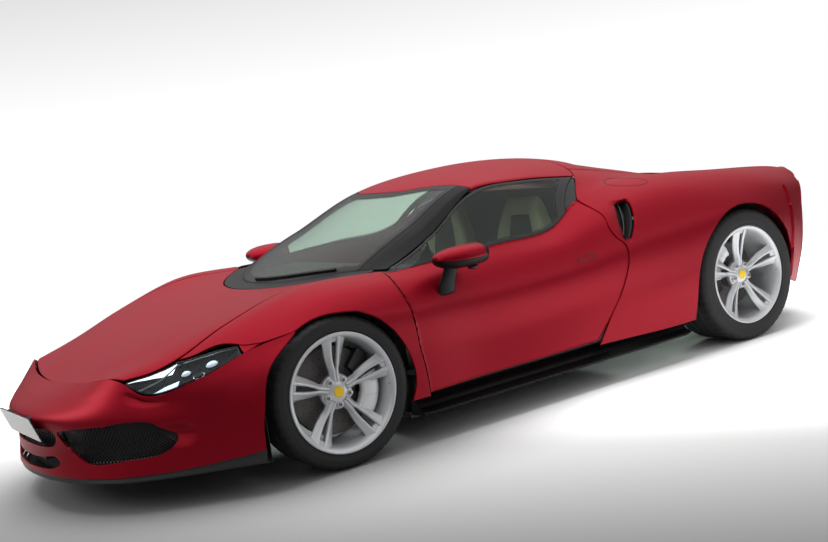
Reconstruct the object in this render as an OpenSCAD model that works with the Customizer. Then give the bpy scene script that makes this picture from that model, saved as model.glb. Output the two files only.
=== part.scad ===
// Mid-engined two-seat berlinetta, built from separate panels, frame, cabin, engine, suspension and wheels.
// Millimetres. +X is forward, +Y is the car's left, +Z is up; the origin is on the ground at mid-length.

/* [Body] */
// distance between the front and rear axles
wheelbase = 2600; // [2450:10:2750]
// nose tip to front axle
front_overhang = 1130; // [1050:10:1200]
// rear axle to tail end
rear_overhang = 835; // [780:10:900]
// greatest body width without the mirrors
body_w = 1958; // [1850:2:2050]
// ground to roof peak
body_h = 1187; // [1140:1:1230]
// thickness of the fixed and hinged outer panels
panel_t = 10; // [8:1:14]
// shut gap round the doors and the lids
shut_gap = 5; // [4:0.5:8]
// seam between fixed panels
seam_gap = 0.6; // [0.4:0.1:0.8]

/* [Wheels] */
// distance between the front wheels' tyre centres
front_track = 1665; // [1600:1:1690]
// distance between the rear wheels' tyre centres
rear_track = 1632; // [1580:1:1650]
// outer radius of the front tyre
front_tyre_r = 340; // [325:1:345]
// outer radius of the rear tyre
rear_tyre_r = 361; // [345:1:365]
// section width of the front tyre
front_tyre_w = 245; // [225:5:255]
// section width of the rear tyre
rear_tyre_w = 305; // [285:5:315]
// radius of the rim's visible lip
rim_r = 268; // [255:1:272]
// radius of the front brake disc
front_disc_r = 199; // [180:1:205]
// radius of the rear brake disc
rear_disc_r = 180; // [165:1:190]

/* [Cabin] */
// height of the seat cushion's top above the ground
seat_z = 330; // [300:5:370]
// distance of each seat's middle from the centre line
seat_y = 360; // [330:5:390]
// outer diameter of the steering wheel
wheel_d = 360; // [340:5:380]

/* [Hidden] */

// Derived positions
x_fa = (wheelbase + rear_overhang - front_overhang) / 2;
x_ra = x_fa - wheelbase;
ky = body_w / 1958;
kz = body_h / 1187;
// lengths in the tables are measured from the front axle; this carries them to the car's own frame
function fx(u) = u > 0 ? x_fa + u * front_overhang / 1130
  : u > -2600 ? x_fa + u * wheelbase / 2600
  : x_ra + (u + 2600) * rear_overhang / 835;
function fit(p) = [fx(p[0]), p[1] * ky, p[2] * kz];

// Smooth surfaces through a net of points
function lerp(a, b, t) = a + (b - a) * t;
function unit(v) = v / max(norm(v), 1e-9);
function mir(p) = [p[0], -p[1], p[2]];
// cubic between p1 and p2 with chord-weighted slopes; c1 and c2 of 1 make a corner at that end
function herm(p0, p1, p2, p3, t, c1, c2) =
  let (h0 = max(norm(p1 - p0), .01), h1 = max(norm(p2 - p1), .01), h2 = max(norm(p3 - p2), .01), d = p2 - p1,
    m1 = lerp(((p1 - p0) * (h1 / h0) + d * (h0 / h1)) * (h1 / (h0 + h1)), d, c1),
    m2 = lerp((d * (h2 / h1) + (p3 - p2) * (h1 / h2)) * (h1 / (h1 + h2)), d, c2), s = t * t, q = s * t)
  p1 * (2 * q - 3 * s + 1) + m1 * (q - 2 * s + t) + p2 * (3 * s - 2 * q) + m2 * (q - s);
function along(L, c, q) = let (j = max(0, min(floor(q), len(L) - 4)), t = q - j)
  herm(L[j], L[j + 1], L[j + 2], L[j + 3], t, c[j], c[j + 1]);
function grow(L, mirrored) = let (n = len(L))
  concat([mirrored ? mir(L[1]) : 2 * L[0] - L[1]], L, [2 * L[n - 1] - L[n - 2]]);
// net: rows of points, first index p, second q; crisp: list of [p, q, cp, cq] corners
function net(rows, mp, mq, crisp = []) =
  let (R = [for (r = rows) grow([for (p = r) fit(p)], mq)], n = len(rows), m = len(rows[0]),
    E = concat([mp ? [for (p = R[1]) mir(p)] : 2 * R[0] - R[1]], R, [2 * R[n - 1] - R[n - 2]]),
    cp = [for (i = [0:n - 1]) [for (j = [0:m - 1]) max(concat([0], [for (c = crisp) if (c[0] == i && c[1] == j) c[2]]))]],
    cq = [for (i = [-1:n]) let (k = i < 0 ? (mp ? 1 : 0) : min(i, n - 1))
      [for (j = [0:m - 1]) max(concat([0], [for (c = crisp) if (c[0] == k && c[1] == j) c[3]]))]])
  [E, cp, cq];
function surf(D, p, q) =
  let (n = len(D[1]), m = len(D[1][0]), i = max(0, min(floor(p), n - 2)), t = p - i,
    j = max(0, min(floor(q), m - 2)), f = q - j)
  herm(along(D[0][i], D[2][i], q), along(D[0][i + 1], D[2][i + 1], q), along(D[0][i + 2], D[2][i + 2], q),
    along(D[0][i + 3], D[2][i + 3], q), t, lerp(D[1][i][j], D[1][i][j + 1], f), lerp(D[1][i + 1][j], D[1][i + 1][j + 1], f));
// surface parameters of the point at x and at y (axis 1) or z (axis 2)
function seek(D, x, v, ax, p, q, k) = k == 0 ? [p, q] :
  let (e = .002, n = len(D[1]) - 1, m = len(D[1][0]) - 1, A = surf(D, p, q), P = (surf(D, p + e, q) - A) / e,
    Q = (surf(D, p, q + e) - A) / e, dx = x - A[0], dv = v - A[ax], det = P[0] * Q[ax] - P[ax] * Q[0],
    s = abs(det) < 1 ? 0 : 1 / det, dp = (dx * Q[ax] - dv * Q[0]) * s, dq = (P[0] * dv - P[ax] * dx) * s,
    g = min(1, .6 / max(abs(dp), abs(dq), .01)))
  seek(D, x, v, ax, max(0, min(n, p + g * dp)), max(0, min(m, q + g * dq)), k - 1);
function start_q(D, x, j) = j >= len(D[1][0]) - 1 ? j : D[0][3][j + 2][0] < x ? j + .5 : start_q(D, x, j + 1);
// one edge point taken to the surface: [u, y, 1], [u, z, 2] or plain parameters [p, q, 0]
function hit(D, e, p0) = e[2] == 0 ? [e[0], e[1]] : let (x = fx(e[0]), v = e[1] * (e[2] == 1 ? ky : kz))
  seek(D, x, v, e[2], e[2] == 1 ? min(1.6, abs(v) / 420) : p0, start_q(D, x, 0), 12);
function pick(L, S, d, i = 0) = i >= len(L) - 2 || S[i + 1] >= d ?
  lerp(L[i], L[i + 1], max(0, min(1, (d - S[i]) / max(.01, S[i + 1] - S[i])))) : pick(L, S, d, i + 1);
// an edge on the surface cut into n equal lengths
function divide(D, E, n, p0) = let (L = [for (e = E) hit(D, e, p0)]) len(L) == n + 1 ? L : let (W = [for (w = L) surf(D, w[0], w[1])],
  S = [for (i = 0, s = 0; i < len(L); s = s + (i + 1 < len(L) ? norm(W[i + 1] - W[i]) : 0), i = i + 1) s])
  [for (k = [0:n]) pick(L, S, S[len(S) - 1] * k / n)];
// four edges -> grid of surface points: e0 and e1 run rearwards, f0 and f1 run outwards
function panel(D, e0, e1, f0, f1, n, m, p0 = 4) =
  let (A = divide(D, e0, m, p0), B = divide(D, e1, m, p0), F = divide(D, f0, n, p0), G = divide(D, f1, n, p0))
  [for (i = [0:n]) let (s = i / n) [for (j = [0:m]) let (t = j / m,
    w = (1 - s) * A[j] + s * B[j] + (1 - t) * F[i] + t * G[i]
      - (1 - s) * (1 - t) * A[0] - (1 - s) * t * A[m] - s * (1 - t) * B[0] - s * t * B[m])
    surf(D, w[0], w[1])]];
// grids side by side that share a column
function beside(a, b) = [for (i = [0:len(a) - 1]) concat(a[i], [for (j = [1:len(b[i]) - 1]) b[i][j]])];
function mesh(D, P, Q) = [for (p = P) [for (q = Q) surf(D, p, q)]];
function span(a, b, n) = [for (i = [0:n]) lerp(a, b, i / n)];
// a left half grid joined to its mirror image, across the first or the second index
function both1(g) = concat([for (i = [len(g) - 1:-1:1]) [for (p = g[i]) mir(p)]],
  [[for (p = g[0]) [p[0], 0, p[2]]]], [for (i = [1:len(g) - 1]) g[i]]);
function both2(g) = [for (r = g) concat([for (j = [len(r) - 1:-1:1]) mir(r[j])], [[r[0][0], 0, r[0][2]]],
  [for (j = [1:len(r) - 1]) r[j]])];
function normals(g) = let (n = len(g) - 1, m = len(g[0]) - 1) [for (i = [0:n]) [for (j = [0:m])
  unit(cross(g[min(i + 1, n)][j] - g[max(i - 1, 0)][j], g[i][min(j + 1, m)] - g[i][max(j - 1, 0)]))]];
// closed shell between depth t0 and depth t1 under a grid; w, when given, is the way in instead of the normals.
// holes is a list of cell ranges [i0, i1, j0, j1] left open, and only is the one range kept.
module shell(g, t0, t1, w = undef, holes = [], only = undef) {
  n = len(g) - 1;
  m = len(g[0]) - 1;
  N = w != undef ? [] : normals(g);
  function way(i, j) = w != undef ? w : -N[i][j];
  function deep(t, i) = is_list(t) ? t[i] : t;
  function solid(i, j) = i >= 0 && j >= 0 && i < n && j < m &&
    (only == undef || (i >= only[0] && i < only[1] && j >= only[2] && j < only[3])) &&
    len([for (h = holes) if (i >= h[0] && i < h[1] && j >= h[2] && j < h[3]) 1]) == 0;
  k = (n + 1) * (m + 1);
  function o(i, j) = i * (m + 1) + j;
  pts = concat([for (i = [0:n]) for (j = [0:m]) g[i][j] + way(i, j) * deep(t0, i)],
    [for (i = [0:n]) for (j = [0:m]) g[i][j] + way(i, j) * deep(t1, i)]);
  quads = [for (i = [0:n - 1]) for (j = [0:m - 1]) if (solid(i, j)) each concat(
    [[o(i, j), o(i, j + 1), o(i + 1, j + 1), o(i + 1, j)],
     [k + o(i, j), k + o(i + 1, j), k + o(i + 1, j + 1), k + o(i, j + 1)]],
    solid(i - 1, j) ? [] : [[o(i, j + 1), o(i, j), k + o(i, j), k + o(i, j + 1)]],
    solid(i + 1, j) ? [] : [[o(i + 1, j), o(i + 1, j + 1), k + o(i + 1, j + 1), k + o(i + 1, j)]],
    solid(i, j - 1) ? [] : [[o(i, j), o(i + 1, j), k + o(i + 1, j), k + o(i, j)]],
    solid(i, j + 1) ? [] : [[o(i + 1, j + 1), o(i, j + 1), k + o(i, j + 1), k + o(i + 1, j + 1)]])];
  polyhedron(pts, [for (f = quads) each [[f[0], f[1], f[2]], [f[0], f[2], f[3]]]], convexity = 8);
}
module lr() { children(); mirror([0, 1, 0]) children(); }
// box from its low corner to its high corner
module block(a, b) { translate(a) cube(b - a); }
// the same for pieces of the body: widths and heights follow the body's
module bay(a, b) block(fit3(a), fit3(b));
function fit3(p) = [p[0], p[1] * ky, p[2] * kz];
function fit2(L) = [for (p = L) [p[0], p[1] * kz]];
function fity(L) = [for (p = L) [p[0] * ky, p[1] * kz]];

// The body's lines, [length from the front axle, y, z], front to rear
centre_line = [[967,0,530],[720,0,618],[400,0,702],[100,0,755],[-90,0,776],[-520,0,955],[-970,0,1138],[-1400,0,1187],
  [-1800,0,1168],[-2200,0,1082],[-2650,0,966],[-3080,0,898],[-3420,0,868]];
rail_line = [[935,330,545],[700,400,624],[390,450,714],[60,500,772],[-400,668,796],[-740,628,944],[-1100,563,1090],
  [-1400,560,1092],[-1790,560,1050],[-2200,590,985],[-2650,600,925],[-3080,600,884],[-3385,560,862]];
crest_line = [[845,600,553],[615,690,604],[360,742,692],[0,757,800],[-470,790,796],[-780,803,800],[-1080,805,800],
  [-1380,798,815],[-1650,728,930],[-2060,690,982],[-2620,785,938],[-3000,805,885],[-3240,800,842]];
shoulder_line = [[800,665,500],[598,800,529],[372,862,604],[0,890,745],[-470,880,744],[-780,868,735],[-1080,868,735],
  [-1380,882,745],[-1690,895,805],[-2080,852,905],[-2620,912,855],[-2990,905,812],[-3230,848,790]];
waist_line = [[770,710,430],[545,850,465],[330,935,560],[0,962,675],[-470,948,640],[-780,925,615],[-1080,925,615],
  [-1380,935,630],[-1710,955,670],[-2090,962,735],[-2620,979,752],[-2970,952,680],[-3190,885,650]];
lower_line = [[715,755,340],[500,870,350],[375,948,420],[0,958,420],[-455,950,420],[-780,920,400],[-1080,918,400],
  [-1380,928,410],[-1730,950,430],[-2110,972,450],[-2620,979,480],[-2940,950,430],[-3150,888,420]];
sill_line = [[680,780,235],[470,880,235],[392,950,235],[0,940,205],[-435,950,212],[-780,930,222],[-1080,930,222],
  [-1380,932,215],[-1730,935,205],[-2120,950,185],[-2620,955,190],[-2920,930,210],[-3090,868,225]];
side_net = net([centre_line, rail_line, crest_line, shoulder_line, waist_line, lower_line, sill_line], true, false,
  [[0,4,0,1],[1,4,0,1],[1,5,.7,0],[1,6,.7,0],[1,7,.5,0],[2,4,.8,0],[2,5,.8,0],[2,6,.8,0],[2,7,.8,0],[2,8,.6,0]]);
// nose: rows from the bonnet seam down to the lip and the ground edge, columns from the middle out to the wheel arch
nose_net = net([
  [[967,0,530],[935,330,545],[845,600,553],[800,665,500],[598,800,529],[372,862,604],[185,950,650]],
  [[1070,0,478],[1010,330,490],[872,610,500],[775,695,463],[578,825,480],[400,905,520],[344,955,509]],
  [[1130,0,432],[1078,330,425],[925,600,415],[748,735,400],[560,842,410],[435,915,420],[387,958,366]],
  [[1108,0,290],[1060,330,290],[905,600,290],[715,760,300],[545,855,310],[440,920,320],[402,958,300]],
  [[1122,0,170],[1074,330,168],[915,610,166],[700,775,170],[545,862,180],[450,918,190],[408,955,200]],
  [[1126,0,148],[1078,330,147],[920,614,146],[704,780,146],[549,866,147],[454,922,149],[413,952,151]]], false, true,
  [[4,0,1,0],[4,1,1,0],[4,2,1,0],[4,3,1,0],[4,4,1,0],[4,5,1,0],[4,6,1,0]]);
// tail: columns from the middle outwards, rows from the deck's edge down
tail_net = net([
  [[-3420,0,868],[-3392,0,790],[-3372,0,650],[-3435,0,430],[-3420,0,300]],
  [[-3385,560,862],[-3350,560,790],[-3330,560,650],[-3390,560,430],[-3370,560,300]],
  [[-3300,730,850],[-3285,735,790],[-3265,755,650],[-3280,755,425],[-3250,730,280]],
  [[-3240,800,842],[-3230,848,790],[-3190,885,650],[-3150,888,420],[-3090,868,225]]], true, false);

// Arch openings, [u, z] from front bottom over the top to rear bottom
front_arch = [[185,650],[105,681],[29,694],[-66,689],[-148,667],[-220,623],[-289,556],[-344,473],[-372,396],
  [-380,334],[-372,280],[-344,216]];
rear_arch = [[-2166,200],[-2186,299],[-2206,420],[-2239,519],[-2285,597],[-2358,671],[-2455,730],[-2557,754],
  [-2647,752],[-2748,727],[-2840,672],[-2913,602],[-2968,521],[-2999,430],[-2999,350],[-2975,260]];
function z2(L) = [for (p = L) [p[0], p[1], 2]];
function y1(L) = [for (p = L) [p[0], p[1], 1]];
function pq(L) = [for (p = L) [p[0], p[1], 0]];
function shift(L, d, e) = [for (p = L) [p[0] + d, p[1] + e]];

// Panel outlines
door_front = [[-388,770],[-386,745],[-391,710],[-396,675],[-402,640],[-409,580],[-421,485],[-440,361],[-448,236]];
door_rear = [[-1668,890],[-1688,845],[-1676,780],[-1690,735],[-1734,682],[-1736,616],[-1690,480],[-1590,340],[-1490,240]];
sg = seam_gap;
function back_edge(d, e) = [[-15-d,0],[-30-d,145],[-70-d,280],[-133-d,405],[-213-d,520],[-288-d,612],[-350-d,672+e]];
function bonnet_grid() = panel(side_net, y1([[962,0],[500,0],[-15,0]]),
  y1([[830,592],[740,640],[620,669],[430,668],[200,655],[-60,655],[-300,668],[-350,672]]),
  [for (q = span(0, 1.96, 6)) let (P = surf(nose_net, 0, q), w = seek(side_net, P[0] - shut_gap - 1 - 9 * q / 2, P[1] - q, 1,
    min(1.6, P[1] / 420), .1, 12)) [w[0], w[1], 0]], y1(back_edge(0, 0)), 6, 12);
function fender_grid() = panel(side_net,
  y1([[612,679],[430,676],[200,663],[-60,663],[-300,676],[-355,683]]), z2(concat(front_arch, [[-442,214]])),
  concat(y1([[612,679],[565,707]]), z2([[460,645],[368,630],[185,650 + sg]])),
  concat(y1([[-355,683]]), z2([[-386,797],[-380,745],[-396,640],[-415,485],[-434,361],[-442,260],[-442,214]])), 7, 12);
function bumper_rows() = [0, .5, 1, 1.5, 2.1, 3, 3.5, 4];
function bumper_cols() = [0, .45, .9, 1.4, 1.9, 2.4, 2.9, 3.3, 3.8, 4.4, 5.1, 6];
function bumper_grid() = mesh(nose_net, bumper_rows(), bumper_cols());
function cowl_grid() = let (c = hit(side_net, [-353 - shut_gap, 672, 1], 1)) panel(side_net, y1([[-18 - shut_gap,0],[-112,0]]),
  pq([c, [1.0, 4.033]]), y1(back_edge(shut_gap + 3, 0)), pq([for (p = span(0, 1, 6)) [p, 4.033]]), 6, 1);
function screen_grid() = mesh(side_net, span(0, .8885, 5), span(4.035, 5.99, 6));
function pillar_grid() = [for (t = span(0, 1, 2)) [for (q = span(4.035, 5.989, 6))
  surf(side_net, lerp(.89, lerp(1.475, 1.043, (q - 4) / 2), t), q)]];
function roof_grid() = mesh(side_net, concat(span(0, .8, 4), [.93, 1.045]), span(6, 8, 6));
// the glass stands on the door's top edge
function glass_grid() = let (m = 9, d = door_grid()[0], T = divide(side_net, pq([[1.53, 4.06], [1.091, 6], [1.091, 7.965]]), m, 2),
  B = divide(side_net, concat(pq([hit(side_net, [-392, 792, 2], 2.3)]), pq([[2, 5], [2, 7.98]])), 10, 2))
  [for (i = [0:3]) [for (j = [0:m]) i == 3 ? d[j + 1] + [0, 0, .4] : let (w = lerp(T[j], B[j + 1], i / 3)) surf(side_net, w[0], w[1])]];
function door_grid() = panel(side_net, concat(pq([hit(side_net, [-392, 792, 2], 2.3)]), pq([[2, 5], [2, 7.98]])),
  z2([[-448,236],[-780,236],[-1100,236],[-1490,240]]),
  concat(pq([hit(side_net, [-392, 792, 2], 2.3)]), z2(shift(door_front, -.8, 0))),
  concat(pq([[2, 7.98]]), z2(shift(door_rear, 1, 0))), 9, 10);
door_depth = [28, 38, 48, 58, 66, 72, 78, 80, 80, 80];
// depth of the scoop that leads into the side intake, at a point of the quarter panel; its rear lip leans
function scoop(p) = let (u = x_fa - p[0], z = p[2] / kz) lookup(u, [[1705, 0], [1760, 14], [1815, 34], [1885, 62]])
  * lookup(u + .56 * (860 - z), [[1900, 1], [1910, 0]]) * lookup(z, [[690, 0], [740, 1], [860, 1], [905, 0]]);
// columns 3 and 4 are drawn forward onto the lip before the dent is made
function lean(j, z) = j == 3 ? lookup(z, [[600, 0], [700, 88], [860, 0]]) :
  j == 4 ? lookup(z, [[620, 0], [700, 95], [777, 94], [841, 60], [880, 40], [915, 0]]) : 0;
function scooped(g) = [for (r = g) [for (j = [0:len(r) - 1]) let (p = r[j] + [lean(j, r[j][2] / kz), 0, 0])
  p - [0, scoop(p), 0]]];
function quarter_grid() = let (top = pq([[.86, 8.012], [.86, 9.6]]), mid = pq([[.86, 9.6], [.86, 10.9]]),
    end = pq([[.86, 10.9], [.86, 11.86]]), c1 = concat(pq([[.86, 9.6]]), z2([[-2170,900],[-2166,560],[-2166,200]])),
    c2 = concat(pq([[.86, 10.9]]), z2([[-3010,840],[-3020,520],[-2975,260]])))
  beside(beside(scooped(panel(side_net, top, z2([[-1500,212],[-1800,202],[-2166,200]]),
    concat(pq([[.86, 8.012], [1.06, 8.012], [2, 8.02]]), z2([[-1675,892],[-1695,845],[-1683,780],[-1697,735],
      [-1741,682],[-1742,616],[-1696,480],[-1596,340],[-1500,212]])), c1, 16, 7)),
    panel(side_net, mid, z2(rear_arch), c1, c2, 16, 9)),
    panel(side_net, end, z2([[-2975,260],[-3075,232]]), c2, pq([[.86, 11.86], [2, 11.93], [6, 11.93]]), 16, 2));
function lid_grid() = mesh(side_net, [0, .35, .7, .844], [8.021, 8.3, 9.0, 9.7, 10.3, 10.9, 11.4, 11.86]);
function tail_grid() = mesh(tail_net, [0, .35, 1, 1.7, 2.4, 3], [0, .4, 1, 1.6, 2.3, 2.9, 3.4, 4]);

// Body in white
module tub() color("dimgray") difference() {
  union() {
    bay([fx(-1700), -825, 105], [fx(-396.5), 825, 135]);
    lr() bay([fx(-1700), 700, 105], [fx(-440), 825, 300]);
    bay([fx(-440), -780, 105], [fx(-396.5), 780, 740]);
    bay([fx(-1730), -760, 105], [fx(-1700), 760, 780]);
    bay([fx(-1730), -470, 770], [fx(-1700), 470, 1000]);
    block([fx(-1700), -110, 130 * kz], [fx(-440), 110, 330 * kz]);
    lr() {
      bay([fx(-397), 300, 200], [fx(900), 370, 280]);
      bay([fx(-110), 365, 200], [fx(110), 519.7, 620]);
      bay([fx(-440), 560, 700], [fx(-330), 660, 740]);
      bay([fx(480), 365, 260], [fx(640), 770, 280]);
      bay([fx(-3200), 400, 240], [fx(-1729), 460, 320]);
      bay([fx(-2720), 455, 200], [fx(-2480), 519.7, 760]);
    }
    bay([fx(880), -480, 200], [fx(920), 480, 290]);
    // luggage well under the bonnet
    bay([fx(60), -330, 275], [fx(620), 330, 285]);
    for (u = [60, 612]) bay([fx(u), -330, 275], [fx(u + 8), 330, u > 100 ? 520 : 640]);
    lr() bay([fx(60), 322, 275], [fx(620), 330, 520]);
    bay([fx(-3240), -600, 300], [fx(-3190), 600, 460]);
    shell(both2(bumper_grid()), panel_t + .3, 240, only = [5, 6, 10, 12]);
    // pads the door, the bonnet and the engine lid close on
    lr() {
      shell(door_grid(), 80.3, 100, [0, -1, 0], only = [6, 7, 9, 10]);
      block([fx(-1730), 740 * ky, 500 * kz], [fx(-1600), 948 * ky - 92, 535 * kz]);
    }
    shell(both1(bonnet_grid()), panel_t + .3, 60, only = [5, 7, 1, 2]);
    bay([fx(790), -30, 260], [fx(890), 30, 290]);
    bay([fx(790), -30, 260], [fx(850), 30, 555]);
    shell(both1(lid_grid()), panel_t + .3, 60, only = [2, 4, 5, 6]);
    bay([fx(-3230), -12, 450], [fx(-3190), 12, 850]);
    shell(both1(tail_grid()), panel_t + .3, 170, only = [3, 4, 5, 6]);
    shell(both1(tail_grid()), panel_t + .3, 170, only = [6, 7, 5, 6]);
  }
  lr() {
    bay([fx(-450), 120, 290], [fx(-390), 500, 560]);
    bay([fx(-450), 120, 160], [fx(-390), 290, 560]);
  }
}
module front_bumper() color("firebrick")
  shell(both2(bumper_grid()), 0, panel_t, holes = [[4, 5, 13, 17], [4, 5, 5, 9]]);
module splitter() color("black") {
  shell(both2(mesh(nose_net, [4.03, 5], bumper_cols())), 0, panel_t);
  translate([0, 0, 138 * kz]) linear_extrude(height = 9.5 * kz) polygon(let (L = [for (q = span(0, 6, 12)) surf(nose_net, 5, q)])
    concat([for (p = L) [p[0] - 12, p[1] - 4]], [[fx(430), 800 * ky], [fx(430), 0]],
      [[fx(430), -800 * ky]], [for (i = [len(L) - 1:-1:1]) [L[i][0] - 12, 4 - L[i][1]]]));
}
module grilles() color("black") {
  for (j = [[12, 18], [4, 10]]) shell(both2(bumper_grid()), panel_t + .3, panel_t + 6, only = [3, 5, j[0], j[1]]);
  lr() shell(quarter_grid(), panel_t + .3, panel_t + 3, only = [6, 9, 2, 3]);
}
module front_fenders() color("firebrick") lr() shell(fender_grid(), 0, panel_t);
module bonnet() color("firebrick") shell(both1(bonnet_grid()), 0, panel_t);
module pillars() color("black") {
  shell(both1(cowl_grid()), 0, panel_t);
  lr() shell(pillar_grid(), 0, 12);
  lr() bay([fx(-400), 600, 740.3], [fx(-335), 650, 783]);
}
module windscreen() color("lightgray") shell(both1(screen_grid()), 0, 5);
module roof() color("firebrick") shell(both1(roof_grid()), 0, 16);
module door(s) mirror([0, s, 0]) shell(door_grid(), 0, door_depth, [0, -1, 0]);
module door_left() color("firebrick") door(0);
module door_right() color("firebrick") door(1);
module door_glass_left() color("gray") shell(glass_grid(), 0, 5, [0, -1, 0]);
module door_glass_right() color("gray") mirror([0, 1, 0]) shell(glass_grid(), 0, 5, [0, -1, 0]);
// mirror: a foot on the door's shoulder, a stalk and a housing whose flat back is the glass
function ring(x, y, z, a, b) = [for (k = [0:15]) let (c = cos(22.5 * k), s = sin(22.5 * k))
  [x, y + a * sign(c) * pow(abs(c), .8), z + b * sign(s) * pow(abs(s), .8)]];
module loft(R) polyhedron([for (r = R) each r], concat([[for (k = [15:-1:0]) k]],
  [[for (k = [0:15]) 16 * (len(R) - 1) + k]],
  [for (i = [0:len(R) - 2]) for (k = [0:15]) let (a = 16 * i + k, b = 16 * i + (k + 1) % 16) each
    [[a, b + 16, a + 16], [a, b, b + 16]]]), convexity = 4);
module mirror_side() {
  shell(door_grid(), -7, -.3, [0, -1, 0], only = [3, 5, 1, 2]);
  hull() {
    translate([fx(-585), 932 * ky, 684 * kz]) cylinder(r = 15, h = 2, $fn = 12);
    translate([fx(-655), 950 * ky, 784 * kz]) cylinder(r = 17, h = 2, $fn = 12);
  }
  loft([for (r = [[-604, .2], [-612, .48], [-632, .76], [-660, .93], [-695, 1], [-738, .98], [-772, .93]])
    ring(fx(r[0]), 985 * ky - 14 * (1 - r[1]), 803 * kz, 95 * r[1], 50 * r[1])]);
}
module mirror_left() color("firebrick") mirror_side();
module mirror_right() color("firebrick") mirror([0, 1, 0]) mirror_side();
module quarter_panels() color("firebrick") lr() shell(quarter_grid(), 0, panel_t, holes = [[6, 9, 2, 3]]);
module engine_lid() color("firebrick") shell(both1(lid_grid()), 0, panel_t, holes = [[1, 5, 1, 3]]);
module rear_window() color("gray") shell(both1(lid_grid()), panel_t + .3, panel_t + 5, only = [1, 5, 1, 3]);
module rear_bumper() color("firebrick")
  shell(both1(tail_grid()), 0, panel_t, holes = [[4, 6, 4, 5], [7, 9, 1, 2], [1, 3, 1, 2]]);
module tail_lamps() color("darkred") for (i = [7, 1]) shell(both1(tail_grid()), panel_t + .3, 22, only = [i, i + 2, 1, 2]);

// Lamps: a bulged lens over a tray, between the bonnet's edge and the bumper's edge
function lamp_grid() = let (n = 8,
    top = divide(side_net, y1([[836,603],[740,648],[615,679],[560,715],[470,765],[392,815]]), n, 1.6))
  [for (t = [.05, .14, .24, .72, .82, .93]) [for (k = [0:n]) let (s = .05 + .93 * k / n, w = lookup(s, [[0, 2.1], [1, 4.9]]),
    a = surf(side_net, lerp(top[k], top[min(k + 1, n)], .05)[0], lerp(top[k], top[min(k + 1, n)], .05)[1]),
    b = surf(nose_net, 0, w)) lerp(a, b, t) + [0, 0, 0]]];
module headlamps() color("black") lr() difference() {
  union() {
    shell(lamp_grid(), 3.3, 55, only = [1, 4, 1, 7]);
    bay([fx(540), 700, 280.3], [fx(590), 760, 545]);
  }
  shell(lamp_grid(), 3, 45, only = [2, 3, 2, 6]);
}
module headlamp_lenses() color("lightgray") lr() shell(lamp_grid(), 0, 3);

module diffuser() color("black") {
  difference() {
    translate([0, 700 * ky, 0]) rotate([90, 0, 0]) linear_extrude(height = 1400 * ky) polygon(fit2([[fx(-3020), 125],
      [fx(-3020), 131], [fx(-3405), 289], [fx(-3405), 299.6], [fx(-3424), 299.6], [fx(-3424), 284]]));
    lr() linear_extrude(height = 400 * kz)
      polygon([[fx(-3300), 700 * ky], [fx(-3450), 380 * ky], [fx(-3450), 701 * ky]]);
  }
  for (y = [-450, -150, 150, 450]) bay([fx(-3340), y - 4, 150], [fx(-3150), y + 4, 200]);
}
module exhaust() color("silver") {
  bay([fx(-2980), -260, 380], [fx(-2700), 260, 560]);
  bay([fx(-2701), -60, 430], [fx(-2440.3), 60, 500]);
  lr() translate([fx(-2979), 62 * ky, 520 * kz]) rotate([0, -90, 0]) difference() {
    cylinder(r = 46, h = 440, $fn = 48);
    translate([0, 0, 4]) cylinder(r = 43, h = 440, $fn = 48);
  }
}
module side_skirts() color("dimgray") lr() {
  translate([fx(-2150), 0, 0]) rotate([90, 0, 90]) linear_extrude(height = fx(-405) - fx(-2150))
    polygon(fity([[825.3, 120], [935, 128], [952, 135], [952, 141], [900, 160], [880, 185], [840, 196], [825.3, 196]]));
  bay([fx(-442), 835, 150], [fx(-405), 940, 213.6]);
  bay([fx(-2145), 835, 150], [fx(-2010), 938, 198.8]);
}
module arch_liners() color("black") lr() {
  liner(fx(0), front_tyre_r, front_tyre_r + 52, 530 * ky, 800 * ky);
  liner(fx(-2600), rear_tyre_r, rear_tyre_r + 43, 520 * ky, 880 * ky);
}
// half-round sheet over a wheel: hub at x and z, radius r, from y0 to y1
module liner(x, z, r, y0, y1) translate([x, y1, z]) rotate([90, 0, 0]) linear_extrude(height = y1 - y0)
  polygon(concat([for (a = span(-12, 192, 17)) r * [cos(a), sin(a)]], [for (a = span(192, -12, 17)) (r + 4) * [cos(a), sin(a)]]));

// Wheels, tyres and what carries them; each is drawn about its own axle with +Y outwards
module at_wheel(u, track, z, s) translate([fx(u), s * track / 2, z]) mirror([0, s < 0 ? 1 : 0, 0]) children();
module spin() rotate([90, 0, 0]) rotate_extrude($fn = 96) mirror([0, 1]) children();
module tyre(r, w) color([.08, .08, .08]) let (h = w / 2) spin() polygon([[254.3, -h + 10], [270, -h + 9], [300, -h],
  [r - 22, -h + 5], [r - 5, -h + 20], [r, -h + 55], [r, h - 55], [r - 5, h - 20], [r - 22, h - 5], [300, h], [270, h - 9],
  [254.3, h - 10], [254.3, h - 32], [300, h - 12], [r - 14, h - 30], [r - 14, 30 - h], [300, 12 - h], [254.3, 32 - h]]);
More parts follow.
